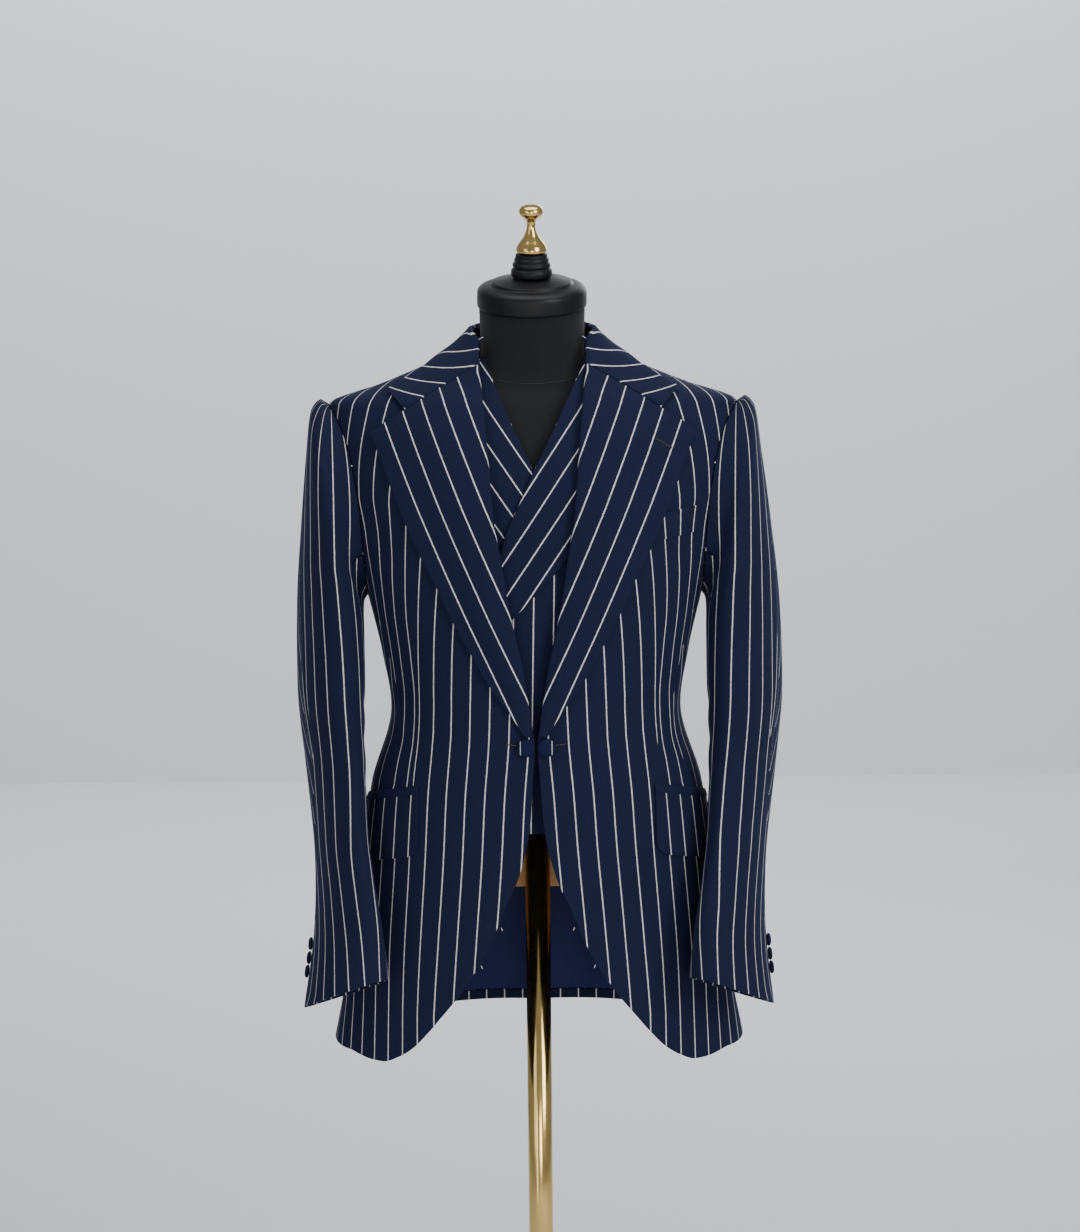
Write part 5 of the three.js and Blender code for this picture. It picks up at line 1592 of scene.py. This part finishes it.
# ---------------------------------------------------------------- sleeves
@dataclass
class Sleeves:
    """Both sleeves, each a top and an under piece, with three cuff buttons."""

    jacket: Jacket
    seam: float = 0.5
    clearance: float = 0.9
    head: float = 0.05

    def __post_init__(self) -> None:
        """Draws curves through the sleeve's sections and its seams."""
        rows = (
            (0.03, 208, 1, 1295, 23, 109.5, 67, 0, 0),
            (0.08, 213, 0, 1286, 27, 105, 72, 0, 0),
            (0.16, 216.5, -1, 1256, 30.1, 84, 75, 4, 2),
            (0.25, 219.5, -2, 1212, 32.4, 62, 75, 10, 4),
            (0.36, 222.7, -3, 1150, 33.7, 38, 74, 16, 6),
            (0.48, 223.5, -6, 1078, 32.4, 18, 70, 20, 8),
            (0.61, 219, -16, 1000, 26.3, 8, 65, 23, 12),
            (0.72, 213.5, -38, 932, 22.8, 4, 60, 24, 16),
            (0.81, 209, -60, 878, 21.8, 0, 57, 30, 18),
            (0.9, 206, -80, 824, 25.6, 0, 55, 39, 20),
            (1, 207, -94, 769, 35, 0, 54, 49, 22),
        )
        columns = list(zip(*rows))
        self.x, self.y, self.z, self.out, self.up, self.depth, self.turn_in, self.rise = (
            Curve(*zip(columns[0], column)) for column in columns[1:]
        )
        self.hind = Curve(
            (0, -76), (0.1, -52), (0.25, -12), (0.4, 10), (0.55, 8), (0.68, -14), (0.82, -38), (1, -50)
        )
        self.fore = Curve(
            (0, 122), (0.1, 132), (0.25, 158), (0.4, 178), (0.55, 176), (0.68, 158), (0.82, 140), (1, 126)
        )
        self.left_drift = Curve((0, 4.3), (0.5, 4.8), (0.7, 11), (1, 27.8))
        self.right_drift = Curve((0, 4), (0.5, 4), (0.7, 3.5), (0.85, 17), (1, 38))
        self.right_swell = Curve((0, 0), (0.1, 0), (0.25, 4), (0.42, 9), (0.6, 11), (0.76, 8), (1, 1))
        self.folds = (
            Fold(((120, 0.44), (150, 0.47), (185, 0.46)), -1.4, 12),
            Fold(((110, 0.52), (150, 0.55), (190, 0.53)), -1.7, 13),
            Fold(((105, 0.6), (140, 0.63), (180, 0.6)), -1.1, 12),
            Fold(((60, 0.56), (90, 0.59), (120, 0.58)), -1.2, 12),
            Fold(((40, 0.1), (60, 0.2), (80, 0.32)), 1.2, 14),
            Fold(((95, 0.08), (105, 0.18), (110, 0.3)), -1.8, 12),
            Fold(((-30, 0.12), (-40, 0.22), (-60, 0.3)), -1.5, 14),
        )

    def point(self, angle: Array, along: Array, side: Side) -> Array:
        """Places of a sleeve's face on the right, before it is mirrored.

        Args:
            angle: from the outermost point towards the front, in degrees.
            along: share of the sleeve's length from its head.
            side: which sleeve; the right one stands a little wider.

        Returns:
            The places.
        """
        angle, along = np.broadcast_arrays(np.asarray(angle, float), along)
        swell = self.right_swell(along) / 2 if side is Side.RIGHT else np.zeros(along.shape)
        round_it, turn_in = np.radians(angle), np.radians(self.turn_in(along))
        wrapped = np.mod(angle + 100, 360) - 100
        lift = sum(
            Fold(tuple((a, b * 560) for a, b in fold.path), fold.height, fold.width).relief(
                wrapped, along * 560, 0.95
            )
            for fold in self.folds
        )
        out = (self.out(along) + swell + lift) * np.cos(round_it)
        forward = (self.depth(along) + lift) * np.sin(round_it)
        ring = np.stack(
            [
                self.x(along) + swell + out * np.cos(turn_in) - forward * np.sin(turn_in),
                self.y(along) - out * np.sin(turn_in) - forward * np.cos(turn_in),
                self.z(along) + self.up(along) * np.cos(round_it) + self.rise(along) * np.sin(round_it),
            ],
            axis=-1,
        )
        seam = self.jacket.body.point(*JACKET_ARMHOLE.spot(self.jacket.body, angle))
        seam[..., 0] += self.clearance
        share = 1 - (1 - np.clip(along / self.head, 0, 1)) ** 2
        return mix(seam, ring, share[..., None])

    def grain(self, points: Array, side: Side, under: bool) -> Pair:
        """Where places of a sleeve lay on the flat cloth: its stripes hang straight from the head.

        Args:
            points: places on the right.
            side: which sleeve they belong to.
            under: whether they are on the under piece, which is cut at an angle to the top one.

        Returns:
            The lengths across and along the cloth.
        """
        table = np.linspace(0, 1, 80)
        along = np.interp(-points[..., 2], -self.z(table), table)
        low = np.maximum(along, 0.22)
        swell = self.right_swell(low) / 2 if side is Side.RIGHT else 0
        turn_in, out, depth = np.radians(self.turn_in(low)), self.out(low) + swell, self.depth(low)
        x, y = points[..., 0] - self.x(low) - swell, points[..., 1] - self.y(low)
        outward = x * np.cos(turn_in) - y * np.sin(turn_in)
        forward = (-x * np.sin(turn_in) - y * np.cos(turn_in)) / depth
        angle = np.arctan2(forward, outward / out)
        angle = np.where((angle < -np.pi / 2) | (under & (angle < 0)), angle + 2 * np.pi, angle)
        round_it = mix(np.pi / 2, angle, np.linspace(0, 1, 25).reshape(-1, 1, 1))
        speed = np.hypot(out * np.sin(round_it), depth * np.cos(round_it))
        arc = speed.mean(axis=0) * (angle - np.pi / 2)
        widening = mix(1, 1.3, ease(0.72, 1, along))
        drift = self.left_drift(along) if side is Side.LEFT else self.right_drift(along)
        slant = (np.maximum(points[..., 2], 930) - 1000) * math.tan(math.radians(7)) if under else 0
        return arc * widening + drift + slant, points[..., 2]

    def axis(self, side: Side) -> Callable[[Array], Array]:
        """The places of a sleeve's axis at the heights of its points.

        Args:
            side: which sleeve.

        Returns:
            A function of points that returns the axis beside each.
        """
        along = np.linspace(0, 1, 60)
        heights = self.z(along)

        def middle(points: Array) -> Array:
            """The axis at the points' heights."""
            at = np.interp(-points[..., 2], -heights, along)
            return np.stack([side.value * self.x(at), self.y(at), points[..., 2]], axis=-1)

        return middle

    def sew(self) -> None:
        """Sews the top and under sleeves."""
        for side in Side:
            for part, start, end, columns, flat, area in (
                ("top", self.hind, self.fore, 64, (0.21, 0.63), 0.105),
                ("under", self.fore, lambda s: self.hind(s) + 360, 52, (0.2, 0.56), 0.09),
            ):

                def spot(u: Array, v: Array, a: Callable = start, b: Callable = end) -> Pair:
                    """(angle, along) of a piece, its rows closer together at the head."""
                    along = v**1.4
                    return mix(a(along) + self.seam, b(along) - self.seam, u), along

                def place(u: Array, v: Array, where: Callable = spot, d: Side = side) -> Array:
                    """Places on the sleeve's own side."""
                    return mirrored(self.point(*where(u, v), d), d)

                def grain(u: Array, v: Array, where: Callable = spot, d: Side = side, p: str = part) -> Pair:
                    """The piece's grain."""
                    return self.grain(self.point(*where(u, v), d), d, p == "under")

                Cloth(
                    f"sleeve_{part}_{side.label}", place, grain, columns, 120, flat, area,
                    (f"jacket_sleeve_{part}_{side.label}",),
                    rests_on=(f"front_{side.label}", f"back_{side.label}"), inside=self.axis(side),
                ).sew()

    def buttons(self) -> None:
        """Makes the cuff buttons."""
        angle, pitch, first = -62.0, 14.9, 40.0
        length = np.linalg.norm(self.point(angle, 1.0, Side.LEFT) - self.point(angle, 0.9, Side.LEFT))
        per_mm = 0.1 / length
        profile = [(0, 0), (5.4, 0), (7.1, 0.8), (7.2, 2.0), (6.3, 3.6), (3.6, 4.4), (0, 4.5)]
        for side in Side:
            for k in range(3):
                along = 1 - (first + k * pitch) * per_mm

                def surface(a: float, b: float, at: float = along, d: Side = side) -> Array:
                    """Places near a cuff button."""
                    return mirrored(self.point(angle + a, np.float64(at + b * per_mm), d), d)

                name = f"cuff_button_{side.label}_{k + 1}"
                axis = self.axis(side)
                CoveredButton(name, f"jacket_{name}", surface, axis, profile, 0.6, BUTTON_CLOTH, 40).make()


# ---------------------------------------------------------------- waistcoat
WAISTCOAT_SECTIONS = (
    (940, 168, 103, 97, 2.2),
    (1069, 148, 103, 83, 2.3),
    (1190, 171, 114, 102, 2.3),
    (1290, 190, 110, 106, 2.3),
    (1350, 190, 97, 98, 2.2),
    (1390, 178, 82, 86, 2),
    (1410, 138, 71, 78, 2),
    (1430, 98, 62, 69, 2),
    (1450, 68, 57, 61, 2),
)


@dataclass
class Waistcoat:
    """The waistcoat: two fronts that cross, a back, two shawl bands and three buttons."""

    hem: float = 943
    top: float = 1446
    seam: float = 90
    underlap: float = 5.4
    band_low: float = 1222
    band_high: float = 1442

    def __post_init__(self) -> None:
        """Draws the edges."""
        self.body = Body(WAISTCOAT_SECTIONS)
        self.hole = Armhole(z=1288, rise=108, front=70, back=72)
        self.edge_x = Curve((943, -45), (1150, -45), (1238, -37.2), (1315, -7), (1380, 25), (1446, 56))
        self.band_x = Curve((1153, -44), (1174, -24), (1253, 45), (1320, 78), (1385, 93), (1436, 84))

    def far_turn(self, z: Array, back: bool) -> Array:
        """The turn of a front's or the back's far edge.

        Args:
            z: heights.
            back: whether it is the back's edge.

        Returns:
            The turns.
        """
        gap = self.body.gap(z) * (1 if back else -1)
        angle = self.hole.angle(z)
        arm, _ = self.hole.spot(self.body, 360 - angle if back else angle)
        open_hole = (z > self.hole.z - self.hole.rise) & (z < self.hole.z + self.hole.rise)
        return np.where(open_hole, arm, self.seam) + gap

    def raised(self, turn: Array, z: Array, height: Array | float, side: Side) -> Array:
        """Places above a front; the left one lies deeper where the right one crosses it.

        Args:
            turn: angles from centre front.
            z: heights.
            height: how far above the body.
            side: which front.

        Returns:
            The places on their own side.
        """
        points = self.body.raised(turn, z, height)
        if side is Side.LEFT:
            sunk = self.underlap * (1 - ease(62, 112, points[..., 0]))
            reach = np.hypot(points[..., 0], points[..., 1])
            points[..., :2] *= (1 - sunk / reach)[..., None]
        return mirrored(points, side)

    def front_spot(self, u: Array, v: Array) -> Pair:
        """(turn, z) of a front: u from its edge to the side seam."""
        z = mix(self.hem, self.top, v)
        return mix(self.body.turn_at_x(self.edge_x(z), z), self.far_turn(z, False), u), z

    def front_grain(self, u: Array, v: Array) -> Pair:
        """A front's grain, a degree or so off the upright."""
        turn, z = self.front_spot(u, v)
        return self.body.arc(0.0, turn, z) + 2.0 - 0.022 * (z - 1150), z

    def band_xz(self, u: Array, v: Array) -> Pair:
        """(x, z) of a shawl band: u from the neckline to its outer edge.

        Args:
            u: share from the neckline to the outer edge.
            v: share from the foot to the neck.

        Returns:
            The x and z of the places.
        """

        def neckline(s: Array) -> Pair:
            """The neckline, tucked under at its foot."""
            z = mix(self.band_low, self.band_high, s)
            past = np.clip(s / 0.11, 0, 1)
            return self.edge_x(z) + SEAM_GAP * past - 5 * (1 - past), z

        patch = coons(
            lambda s: (np.full_like(s, -44.0), mix(self.band_low, 1153.0, s)),
            lambda s: (mix(float(self.edge_x(1442.0)), 84.0, s), mix(self.band_high, 1436.0, s)),
            neckline,
            lambda s: (self.band_x(mix(1153.0, 1436.0, s)), mix(1153.0, 1436.0, s)),
        )
        return patch(u, v)

    def sew(self) -> None:
        """Sews the fronts, bands and back."""
        for side in Side:
            slant = math.radians(34 if side is Side.RIGHT else 36)
            shift = 3.0 if side is Side.RIGHT else 9.0

            def band(u: Array, v: Array, d: Side = side) -> Array:
                """Places of a shawl band."""
                x, z = self.band_xz(u, v)
                roll = 1.2 * np.sin(np.pi * u) * ease(0, 0.3, v)
                height = 1.2 + 1.3 * v + WAISTCOAT_CLOTH + roll
                return self.raised(self.body.turn_at_x(x, z), z, height, d)

            def band_grain(u: Array, v: Array, a: float = slant, k: float = shift) -> Pair:
                """Stripes at the band's own slant."""
                x, z = self.band_xz(u, v)
                return x * math.cos(a) - (z - 1200) * math.sin(a) + k, x * math.sin(a) + z * math.cos(a)

            Cloth(
                f"waistcoat_forepart_{side.label}",
                lambda u, v, d=side: self.raised(*self.front_spot(u, v), 0.0, d), self.front_grain, 44, 84,
                (0.26, 0.51), 0.1, (f"waistcoat_front_{side.label}",), thick=WAISTCOAT_CLOTH,
            ).sew()
            Cloth(
                f"shawl_band_{side.label}", band, band_grain, 28, 90, (0.09, 0.31), 0.018,
                (f"waistcoat_shawl_{side.label}",), thick=WAISTCOAT_CLOTH, edge=0.6, held=Held.FOLDED,
                rests_on=(f"waistcoat_forepart_{side.label}",),
            ).sew()

        def back(u: Array, v: Array) -> Pair:
            """(turn, z) of the back."""
            z = mix(self.hem, self.top, v)
            far = self.far_turn(z, True)
            return mix(far, 360 - far, u), z

        Cloth(
            "waistcoat_back_panel", lambda u, v: self.body.raised(*back(u, v), 0.0),
            lambda u, v: (self.body.arc(180.0, *back(u, v)), back(u, v)[1]), 64, 84, (0.46, 0.51), 0.17,
            ("waistcoat_back",), thick=WAISTCOAT_CLOTH, finish=SATIN, slot=Slot.LINING,
        ).sew()

    def buttons(self) -> None:
        """Makes the three covered buttons behind the jacket's fronts."""
        for k in range(3):
            z = np.float64(985 + 62 * k)
            turn = self.body.turn_at_x(-28.0, z)
            foot, normal = self.body.raised(turn, z, 0.5), self.body.normal(turn, z)
            profile = [(0, 0), (5.6, 0), (6.9, 0.6), (7, 1.3), (6, 2.4), (3, 2.9), (0, 3)]
            Turning(
                f"waistcoat_covered_button_{k + 1}", rounded(profile), Vector(foot), Vector(normal),
                BUTTON_CLOTH, Slot.BUTTON, (f"waistcoat_button_{k + 1}",), 40,
            ).turn()


# ---------------------------------------------------------------- dress form and stand
FORM_SECTIONS = (
    (952, 156, 93, 87, 2.2),
    (1069, 138, 94, 75, 2.3),
    (1190, 160, 104, 93, 2.3),
    (1290, 180, 100, 97, 2.3),
    (1350, 182, 87, 89, 2.2),
    (1380, 158, 75, 74, 2),
    (1400, 132, 65, 71, 2),
    (1418, 86, 54, 62, 2),
    (1436, 60, 51, 57, 2),
    (1452, 56, 51, 55, 2),
    (1501, 57, 55, 56, 2),
)


@dataclass
class DressForm:
    """The limbless form: covered torso, neck cap, turned neck block, finial and hip board."""

    foot: float = 952
    neck_top: float = 1501
    tilt: float = math.tan(math.radians(12))
    neck_seam: float = 1428

    def __post_init__(self) -> None:
        """Sets up the torso's surface and the axis of the turned parts."""
        self.body = Body(FORM_SECTIONS)
        self.axis = Vector((0, -self.tilt, 1)).normalized()

    def torso(self) -> None:
        """Makes the covered torso, closed above and below, with a fine seam round the neck."""
        around, up = 128, 150

        def place(u: Array, v: Array) -> Array:
            """Places of the cover, whose top leans with the neck."""
            z = mix(self.foot, self.neck_top, v)
            points = self.body.raised(u * 360, z, 0.0)
            lean = self.tilt * ease(1440, self.neck_top, z)
            points[..., 2] += points[..., 1] * lean
            return points

        around_neck = np.linspace(0, 360, 97)
        seam_z = self.neck_seam + 6 - 14 * np.cos(np.radians(around_neck))
        seam_line = self.body.raised(around_neck, seam_z, 0.1)
        thread("form_neck_seam", seam_line, 0.45, COVER_THREAD, Slot.KNIT)
        cover = Cloth(
            "form_cover", place,
            lambda u, v: (self.body.arc(180.0, u * 360, mix(self.foot, self.neck_top, v)), v * 549), around,
            up, (1.0, 0.55), 0.45,
        )
        bm, _ = cover.grid_mesh()
        bmesh.ops.remove_doubles(bm, verts=bm.verts, dist=1e-5)
        bmesh.ops.holes_fill(bm, edges=bm.edges, sides=around)
        bmesh.ops.recalc_face_normals(bm, faces=bm.faces)
        piece_from(bm, "form_cover", JERSEY, Slot.KNIT, ("form_torso",))

    def _above_neck(
        self, name: str, node: str, profile: Sequence, base: float, finish: Finish, slot: Slot
    ) -> None:
        """Turns one part of the neck about the leaning axis.

        Args:
            name: the piece's name.
            node: the CAD node that it stands for.
            profile: rows of (radius, height).
            base: height of its foot above the neck's top.
            finish: its material.
            slot: the record's slot.
        """
        foot = Vector((0, 0, self.neck_top)) + self.axis * base
        closed = [(0, profile[0][1]), *profile, (0, profile[-1][1])]
        Turning(name, rounded(closed), foot, self.axis, finish, slot, (node,), 96).turn()

    def neck(self) -> None:
        """Makes the cap, the turned block and the finial."""
        cap = (
            (56, 0.5), (58.6, 1), (59.2, 3.5), (59.2, 16.5), (58, 20), (54.5, 22.8),
            (49, 24.3), (43.6, 24.9), (43.2, 27.6), (40, 28.3), (30, 30.6), (23, 31.7),
        )
        block = (
            (20, 0.4), (21.6, 1.6), (22.3, 5), (22, 8.6), (19.2, 10.8), (20.6, 12.6), (20.6, 15),
            (18.2, 16.9), (18.8, 18.6), (18.6, 20.6), (16.9, 22), (17.6, 23.6), (16.4, 25.8), (12, 26),
        )
        finial = (
            (12, 0.4), (15.6, 1), (16.5, 3), (16.6, 5.4), (15.4, 8.6), (13.4, 11.6), (10.2, 15.4),
            (7.6, 19.6), (5.6, 24.4), (4.6, 29), (4.5, 33), (5.6, 36), (8.6, 38.4), (11.6, 41),
            (13.1, 44.4), (12.9, 47.6), (11, 50.2), (7.4, 52), (3, 52.8),
        )
        self._above_neck("neck_cap", "form_neck_cap", cap, 0, BLACK_PAINT, Slot.CAP)
        self._above_neck("neck_block", "form_neck_turning", block, 32, BLACK_PAINT, Slot.CAP)
        self._above_neck("finial", "form_finial", finial, 58, BRASS, Slot.BRASS)

    def hip_board(self) -> None:
        """Makes the bent board that closes the back of the hip."""
        reach, bottom, thick, inset = 72.0, 848.0, 6.0, 3.0

        def place(u: Array, v: Array) -> Array:
            """Places of the board's outer face."""
            turn = mix(180 - reach, 180 + reach, u)
            points = self.body.raised(turn, np.full_like(u, self.foot), -inset)
            points[..., 2] = mix(bottom, self.foot - SEAM_GAP, v)
            return points

        board = Cloth("hip_board", place, lambda u, v: (u * 300, v * 100), 64, 12, (1, 1), 0.9)
        bm, _ = board.grid_mesh()
        bmesh.ops.reverse_faces(bm, faces=bm.faces)
        piece = piece_from(bm, "hip_board", BOARD, Slot.BOARD, ("form_hip_board",))
        solid = piece.modifiers.new("thickness", "SOLIDIFY")
        solid.thickness, solid.offset = thick * MM, 1
        rim = piece.modifiers.new("eased edge", "BEVEL")
        rim.width, rim.segments, rim.limit_method, rim.angle_limit = 1.2 * MM, 3, "ANGLE", math.radians(50)


@dataclass
class Stand:
    """The brass stand: a round base, a pole and the collar round its foot."""

    base_radius: float = 180
    base_thickness: float = 14
    pole_radius: float = 13.5
    top: float = 952

    def build(self) -> None:
        """Turns the three parts."""
        r, t, up = self.base_radius, self.base_thickness, Vector((0, 0, 1))
        foot = t + SEAM_GAP
        base = [(0, 0), (r - 1.2, 0), (r, 1.2), (r, t - 4), (r - 1.2, t - 1.4), (r - 4, t), (0, t)]
        Turning("base_plate", rounded(base, 1), Vector(), up, BRASS, Slot.BRASS, ("stand_base",), 128).turn()
        pole = [(0, 0), (self.pole_radius, 0), (self.pole_radius, self.top - SEAM_GAP - foot)]
        pole.append((0, pole[-1][1]))
        Turning("pole", pole, Vector((0, 0, foot)), up, BRASS, Slot.BRASS, ("stand_pole",), 64).turn()
        inner, outer = self.pole_radius + SEAM_GAP, 30.0
        collar = [
            (inner, 0), (outer, 0), (outer, 5), (27, 7.5), (20.6, 10), (20, 14), (20, 39), (18.4, 43),
            (inner, 44), (inner, 0),
        ]
        spot, nodes = Vector((0, 0, foot)), ("stand_collar",)
        Turning("pole_collar", rounded(collar, 1), spot, up, BRASS, Slot.BRASS, nodes, 64).turn()


# ---------------------------------------------------------------- studio
@dataclass
class Studio:
    """Floor, backdrop, soft lights and the camera."""

    lens: float = 91.14
    sensor: float = 36.0
    eye: tuple[float, float, float] = (0.0054, -3.375, 1.579)
    pitch: float = 7.0
    roll: float = 0.0098

    def camera(self) -> None:
        """Sets the camera in front of the suit, a little above it."""
        data = bpy.data.cameras.new("camera")
        data.lens, data.sensor_width, data.sensor_fit = self.lens, self.sensor, "AUTO"
        eye = bpy.data.objects.new("camera", data)
        bpy.context.scene.collection.objects.link(eye)
        look = Matrix.Rotation(math.radians(90 - self.pitch), 4, "X") @ Matrix.Rotation(-self.roll, 4, "Z")
        eye.matrix_world = Matrix.Translation(self.eye) @ look
        bpy.context.scene.camera = eye

    def stage(self) -> None:
        """Makes the floor and the backdrop."""
        bm = bmesh.new()
        bmesh.ops.create_grid(bm, x_segments=1, y_segments=1, size=11.0)
        self._paper(bm, "studio_floor")
        bm = bmesh.new()
        bmesh.ops.create_grid(bm, x_segments=1, y_segments=1, size=11.0)
        upright = Matrix.Translation((0, 5.6, 0)) @ Matrix.Rotation(math.pi / 2, 4, "X")
        bmesh.ops.transform(bm, matrix=upright, verts=bm.verts)
        self._paper(bm, "studio_backdrop")

    def _paper(self, bm: bmesh.types.BMesh, name: str) -> None:
        """Keeps a sheet of studio paper as part of the stage.

        Args:
            bm: the sheet, which is freed.
            name: its name.
        """
        mesh = bpy.data.meshes.new(name)
        bm.to_mesh(mesh)
        bm.free()
        mesh.materials.append(PAPER.material())
        made = bpy.data.objects.new(name, mesh)
        bpy.context.scene.collection.objects.link(made)
        made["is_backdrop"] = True

    def light(self, name: str, place: tuple, aim: tuple, size: tuple, power: float, colour: str) -> None:
        """Adds a soft rectangular light.

        Args:
            name: its name.
            place: where it is, in metres.
            aim: what it points at.
            size: its width and height.
            power: its power in watts.
            colour: its sRGB colour.
        """
        data = bpy.data.lights.new(name, "AREA")
        data.shape, data.size, data.size_y = "RECTANGLE", *size
        data.energy, data.color = power, linear(colour)[:3]
        made = bpy.data.objects.new(name, data)
        bpy.context.scene.collection.objects.link(made)
        made.location = place
        made.rotation_euler = (Vector(aim) - Vector(place)).to_track_quat("-Z", "Y").to_euler()
        made.visible_camera = False

    def lights(self) -> None:
        """Lights the suit softly, a little more from the right."""
        world = bpy.data.worlds.new("studio")
        world.use_nodes = True
        background = world.node_tree.nodes["Background"]
        background.inputs["Color"].default_value = linear("#e9edf5")
        background.inputs["Strength"].default_value = 0.4
        bpy.context.scene.world = world
        self.light("key", (2.4, -2.6, 2.4), (0, 0, 1.15), (1.6, 2.2), 100, "#ffffff")
        self.light("fill", (-2.6, -2.8, 1.8), (0, 0, 1.1), (1.6, 2.4), 18, "#f4f6ff")
        self.light("front", (0.4, -3.9, 1.0), (0, 0, 0.95), (1.2, 1.0), 34, "#fffaf2")
        self.light("strip", (-1.6, -3.0, 0.75), (0, 0, 0.75), (0.3, 1.5), 9, "#ffffff")
        self.light("top", (0, -0.2, 3.4), (0, 0, 1.0), (2.2, 1.6), 40, "#ffffff")
        self.light("backdrop", (0, 3.7, 3.7), (0, 5.6, 1.5), (6.0, 0.8), 150, "#ffffff")
        self.light("rear", (1.2, 3.2, 2.4), (0, 0, 1.1), (1.6, 1.6), 30, "#ffffff")


def main() -> None:
    """Builds every sub-assembly in order and reports its pieces."""
    logging.basicConfig(level=logging.INFO, format="%(message)s")
    studio = Studio()
    studio.camera()
    studio.stage()
    studio.lights()
    form, stand, jacket, waistcoat = DressForm(), Stand(), Jacket(), Waistcoat()
    sleeves = Sleeves(jacket)
    for make in (
        form.torso,
        form.neck,
        form.hip_board,
        stand.build,
        waistcoat.sew,
        waistcoat.buttons,
        jacket.panels,
        jacket.inside_back,
        jacket.lapels,
        jacket.collar,
        jacket.pockets,
        jacket.link,
        jacket.tacks,
        sleeves.sew,
        sleeves.buttons,
    ):
        known = {piece.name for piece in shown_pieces()}
        make()
        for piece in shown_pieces():
            if piece.name not in known:
                faces = len(piece.data.polygons)
                LOG.info("%s: %s, %d faces before modifiers", make.__qualname__, piece.name, faces)


if __name__ == "__main__":
    main()
